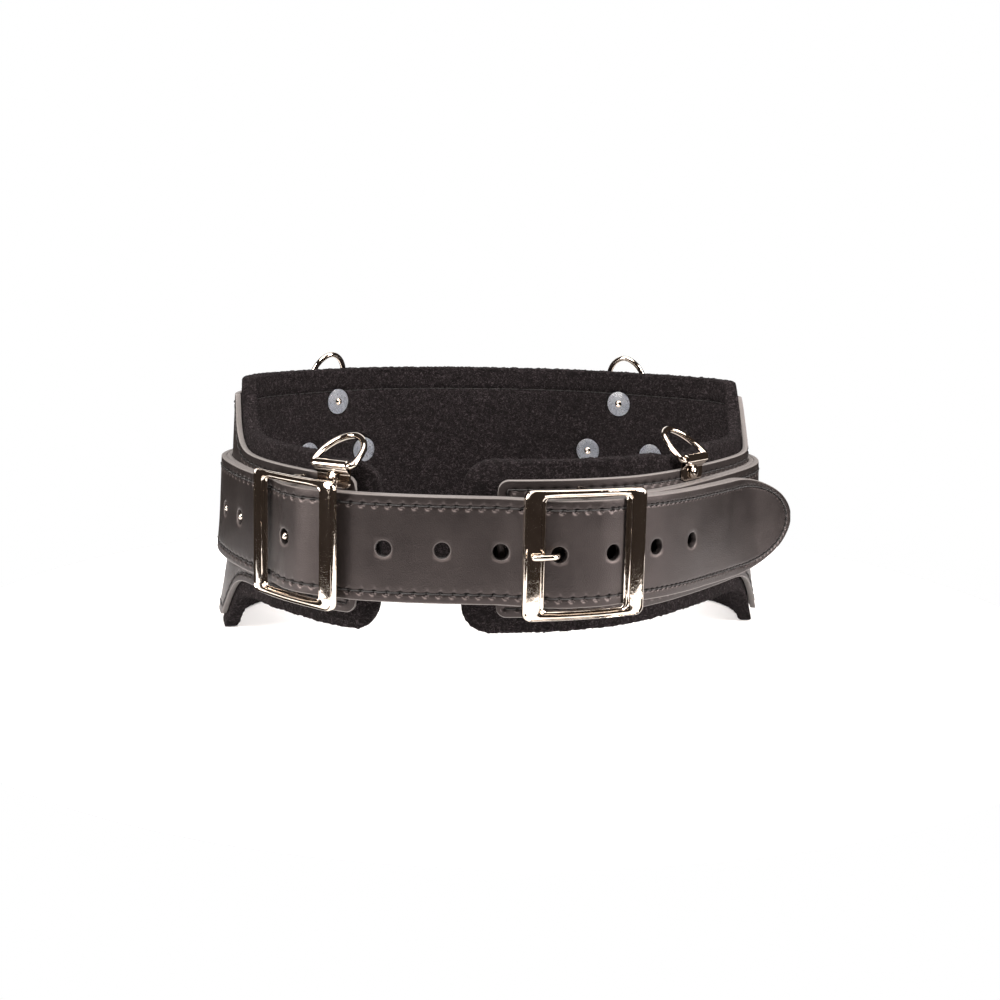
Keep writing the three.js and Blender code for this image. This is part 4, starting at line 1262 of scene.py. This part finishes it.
def washer_material():
    """Clear plastic gone slightly milky, with faint turning marks."""
    n = Nodes("washer_plastic")
    at = n.place(flat=False)
    cloud = n.noise(at, 150, 4, 0.6)
    marks = n.noise(n.stretched(at, (1, 1, 6)), 700, 3, 0.6)
    colour = n.mix(n.ramp(cloud, 0.3, 0.7), (0.55, 0.60, 0.70), (0.80, 0.84, 0.90))
    rough = n.ramp(marks, 0.3, 0.75, 0.18, 0.42)
    return n.set(Base_Color=colour, Roughness=rough, Transmission_Weight=0.86, IOR=1.4,
                 Normal=n.bump(marks, 0.00012), Coat_Weight=0.3)


def floor_material():
    n = Nodes("paper_floor")
    at = n.place(flat=False)
    tooth = n.noise(at, 400, 3, 0.6)
    colour = n.mix(n.ramp(tooth, 0.3, 0.7), (0.90, 0.90, 0.90), (0.93, 0.93, 0.93))
    split = n.tree.nodes.new("ShaderNodeVectorMath")
    split.operation = "LENGTH"
    n.put(split.inputs[0], at)
    glow = n.ramp(split.outputs["Value"], 0.26, 0.46, 0.12, 0.85)
    return n.set(Base_Color=colour, Roughness=0.9, Normal=n.bump(tooth, 0.0001), Specular_IOR_Level=0.1,
                 Emission_Color=(1, 1, 1), Emission_Strength=glow)


# ---- stage ----
CAMERA_AT = (-0.134775, -1.06994, 0.2919)
CAMERA_TURN = 7.0
CAMERA_PITCH = 9.812
CAMERA_ROLL = 1.2
CAMERA_LENS = 47.894
FLOOR_RADIUS = 0.46
FLOOR_BELOW = -0.0004
LIT_COLOUR = (1.0, 0.78, 0.66, 1)
LIT_STRENGTH = 0.045
LIGHTS_AIM = (0, 0, 0.1)
LIGHTS = [
    ("left_box", (-1.7, -0.75, 0.75), 0.7, 1.5, 60, (1, 0.94, 0.90)),
    ("right_box", (1.7, -0.9, 0.9), 0.7, 1.5, 80, (1, 0.93, 0.90)),
    ("top_box", (0, 0.0, 1.9), 2.0, 1.4, 42, (1, 0.97, 0.95)),
    ("front_box", (-0.4, -1.6, 2.3), 1.6, 0.5, 66, (1, 0.93, 0.90)),
    ("back_box", (0, 2.2, 1.3), 1.8, 1.2, 12, (1, 1, 1)),
]


def make_camera():
    a, p, r = (math.radians(v) for v in (CAMERA_TURN, CAMERA_PITCH, CAMERA_ROLL))
    data = bpy.data.cameras.new("camera")
    data.lens = CAMERA_LENS
    data.sensor_width = 36
    data.clip_end = 60
    camera = bpy.data.objects.new("camera", data)
    bpy.context.scene.collection.objects.link(camera)
    look = Vector((math.sin(a) * math.cos(p), math.cos(a) * math.cos(p), -math.sin(p)))
    right = look.cross(Vector((0, 0, 1))).normalized()
    up = right.cross(look)
    rolled_right = right * math.cos(r) + up * math.sin(r)
    rolled_up = up * math.cos(r) - right * math.sin(r)
    turn = Matrix((rolled_right, rolled_up, -look)).transposed()
    camera.matrix_world = Matrix.Translation(CAMERA_AT) @ turn.to_4x4()
    bpy.context.scene.camera = camera


def soft_box(name, at, width, height, watts, colour):
    data = bpy.data.lights.new(name, "AREA")
    data.shape = "RECTANGLE"
    data.size, data.size_y = width, height
    data.energy = watts
    data.color = colour
    light = bpy.data.objects.new(name, data)
    light.location = at
    light.rotation_euler = (Vector(LIGHTS_AIM) - Vector(at)).to_track_quat("-Z", "Y").to_euler()
    bpy.context.scene.collection.objects.link(light)


def make_stage():
    sides = 96
    a = np.linspace(0, 2 * math.pi, sides, endpoint=False)
    low = np.full(sides, FLOOR_BELOW)
    rings = [np.column_stack([r * np.cos(a), r * np.sin(a), low]) for r in (FLOOR_RADIUS, 0.3)]
    points = np.vstack(rings) / MM
    faces = [[k, (k + 1) % sides, sides + (k + 1) % sides, sides + k] for k in range(sides)]
    faces.append(list(range(sides, 2 * sides)))
    floor = make_piece("floor", points, faces, floor_material())
    world = bpy.data.worlds.new("studio")
    bpy.context.scene.world = world
    world.use_nodes = True
    tree = world.node_tree
    tree.nodes.clear()
    out = tree.nodes.new("ShaderNodeOutputWorld")
    seen, lit = (tree.nodes.new("ShaderNodeBackground") for _ in range(2))
    seen.inputs["Color"].default_value = (1, 1, 1, 1)
    seen.inputs["Strength"].default_value = 1.0
    lit.inputs["Color"].default_value = LIT_COLOUR
    lit.inputs["Strength"].default_value = LIT_STRENGTH
    path = tree.nodes.new("ShaderNodeLightPath")
    pick = tree.nodes.new("ShaderNodeMixShader")
    tree.links.new(path.outputs["Is Camera Ray"], pick.inputs[0])
    tree.links.new(lit.outputs[0], pick.inputs[1])
    tree.links.new(seen.outputs[0], pick.inputs[2])
    tree.links.new(pick.outputs[0], out.inputs[0])
    for light in LIGHTS:
        soft_box(*light)
    scene = bpy.context.scene
    scene.view_settings.view_transform = "Standard"
    scene.view_settings.look = "None"


# ---- assembly ----
def make_belt():
    strap_leather = leather_material("strap_leather", (0.0062, 0.0051, 0.005), (0.0135, 0.0113, 0.0108),
                                     (0.15, 0.142, 0.137), 0.4)
    backing_leather = leather_material("backing_leather", (0.0058, 0.005, 0.0049), (0.012, 0.0102, 0.0099),
                                       (0.18, 0.172, 0.166), 0.46)
    thread, nickel, plastic = thread_material(), nickel_material(), washer_material()
    make_felt(felt_material(), thread)
    make_backing(backing_leather, thread)
    make_strap(strap_leather, thread)
    make_strap_fold(strap_leather)
    right = make_buckle("right", RIGHT_BUCKLE, RIGHT_BAR_OFFSET, RIGHT_FRAME_OFFSET, nickel)
    make_buckle("left", LEFT_BUCKLE, LEFT_BAR_OFFSET, LEFT_FRAME_OFFSET, nickel)
    make_prong(right, nickel)
    for number, count in enumerate(STUD_COUNTS, 1):
        make_stud(number, count, nickel)
    for name, (_, z, _) in RINGS.items():
        place = make_ring(name, nickel)
        make_clip(name, place, nickel)
        s, low = RING_S[name], z - RIVET_DROP
        make_rivet(f"{name}_clip_rivet", s, low, 2 * CLIP_SHEET + 2 * GAP, CAP_RADIUS, 3.2, nickel)
        make_washer(f"{name}_clip_washer", s, low, plastic)
    for name, at in STRAP_RIVETS.items():
        s, seat = nearest(at), STRAP_THICK + 2 * GAP
        make_rivet(f"{name}_strap_rivet", s, STRAP_RIVET_Z, seat, STRAP_CAP_RADIUS, 2, nickel)
        make_washer(f"{name}_strap_washer", s, STRAP_RIVET_Z, plastic)


make_belt()
make_stage()
make_camera()
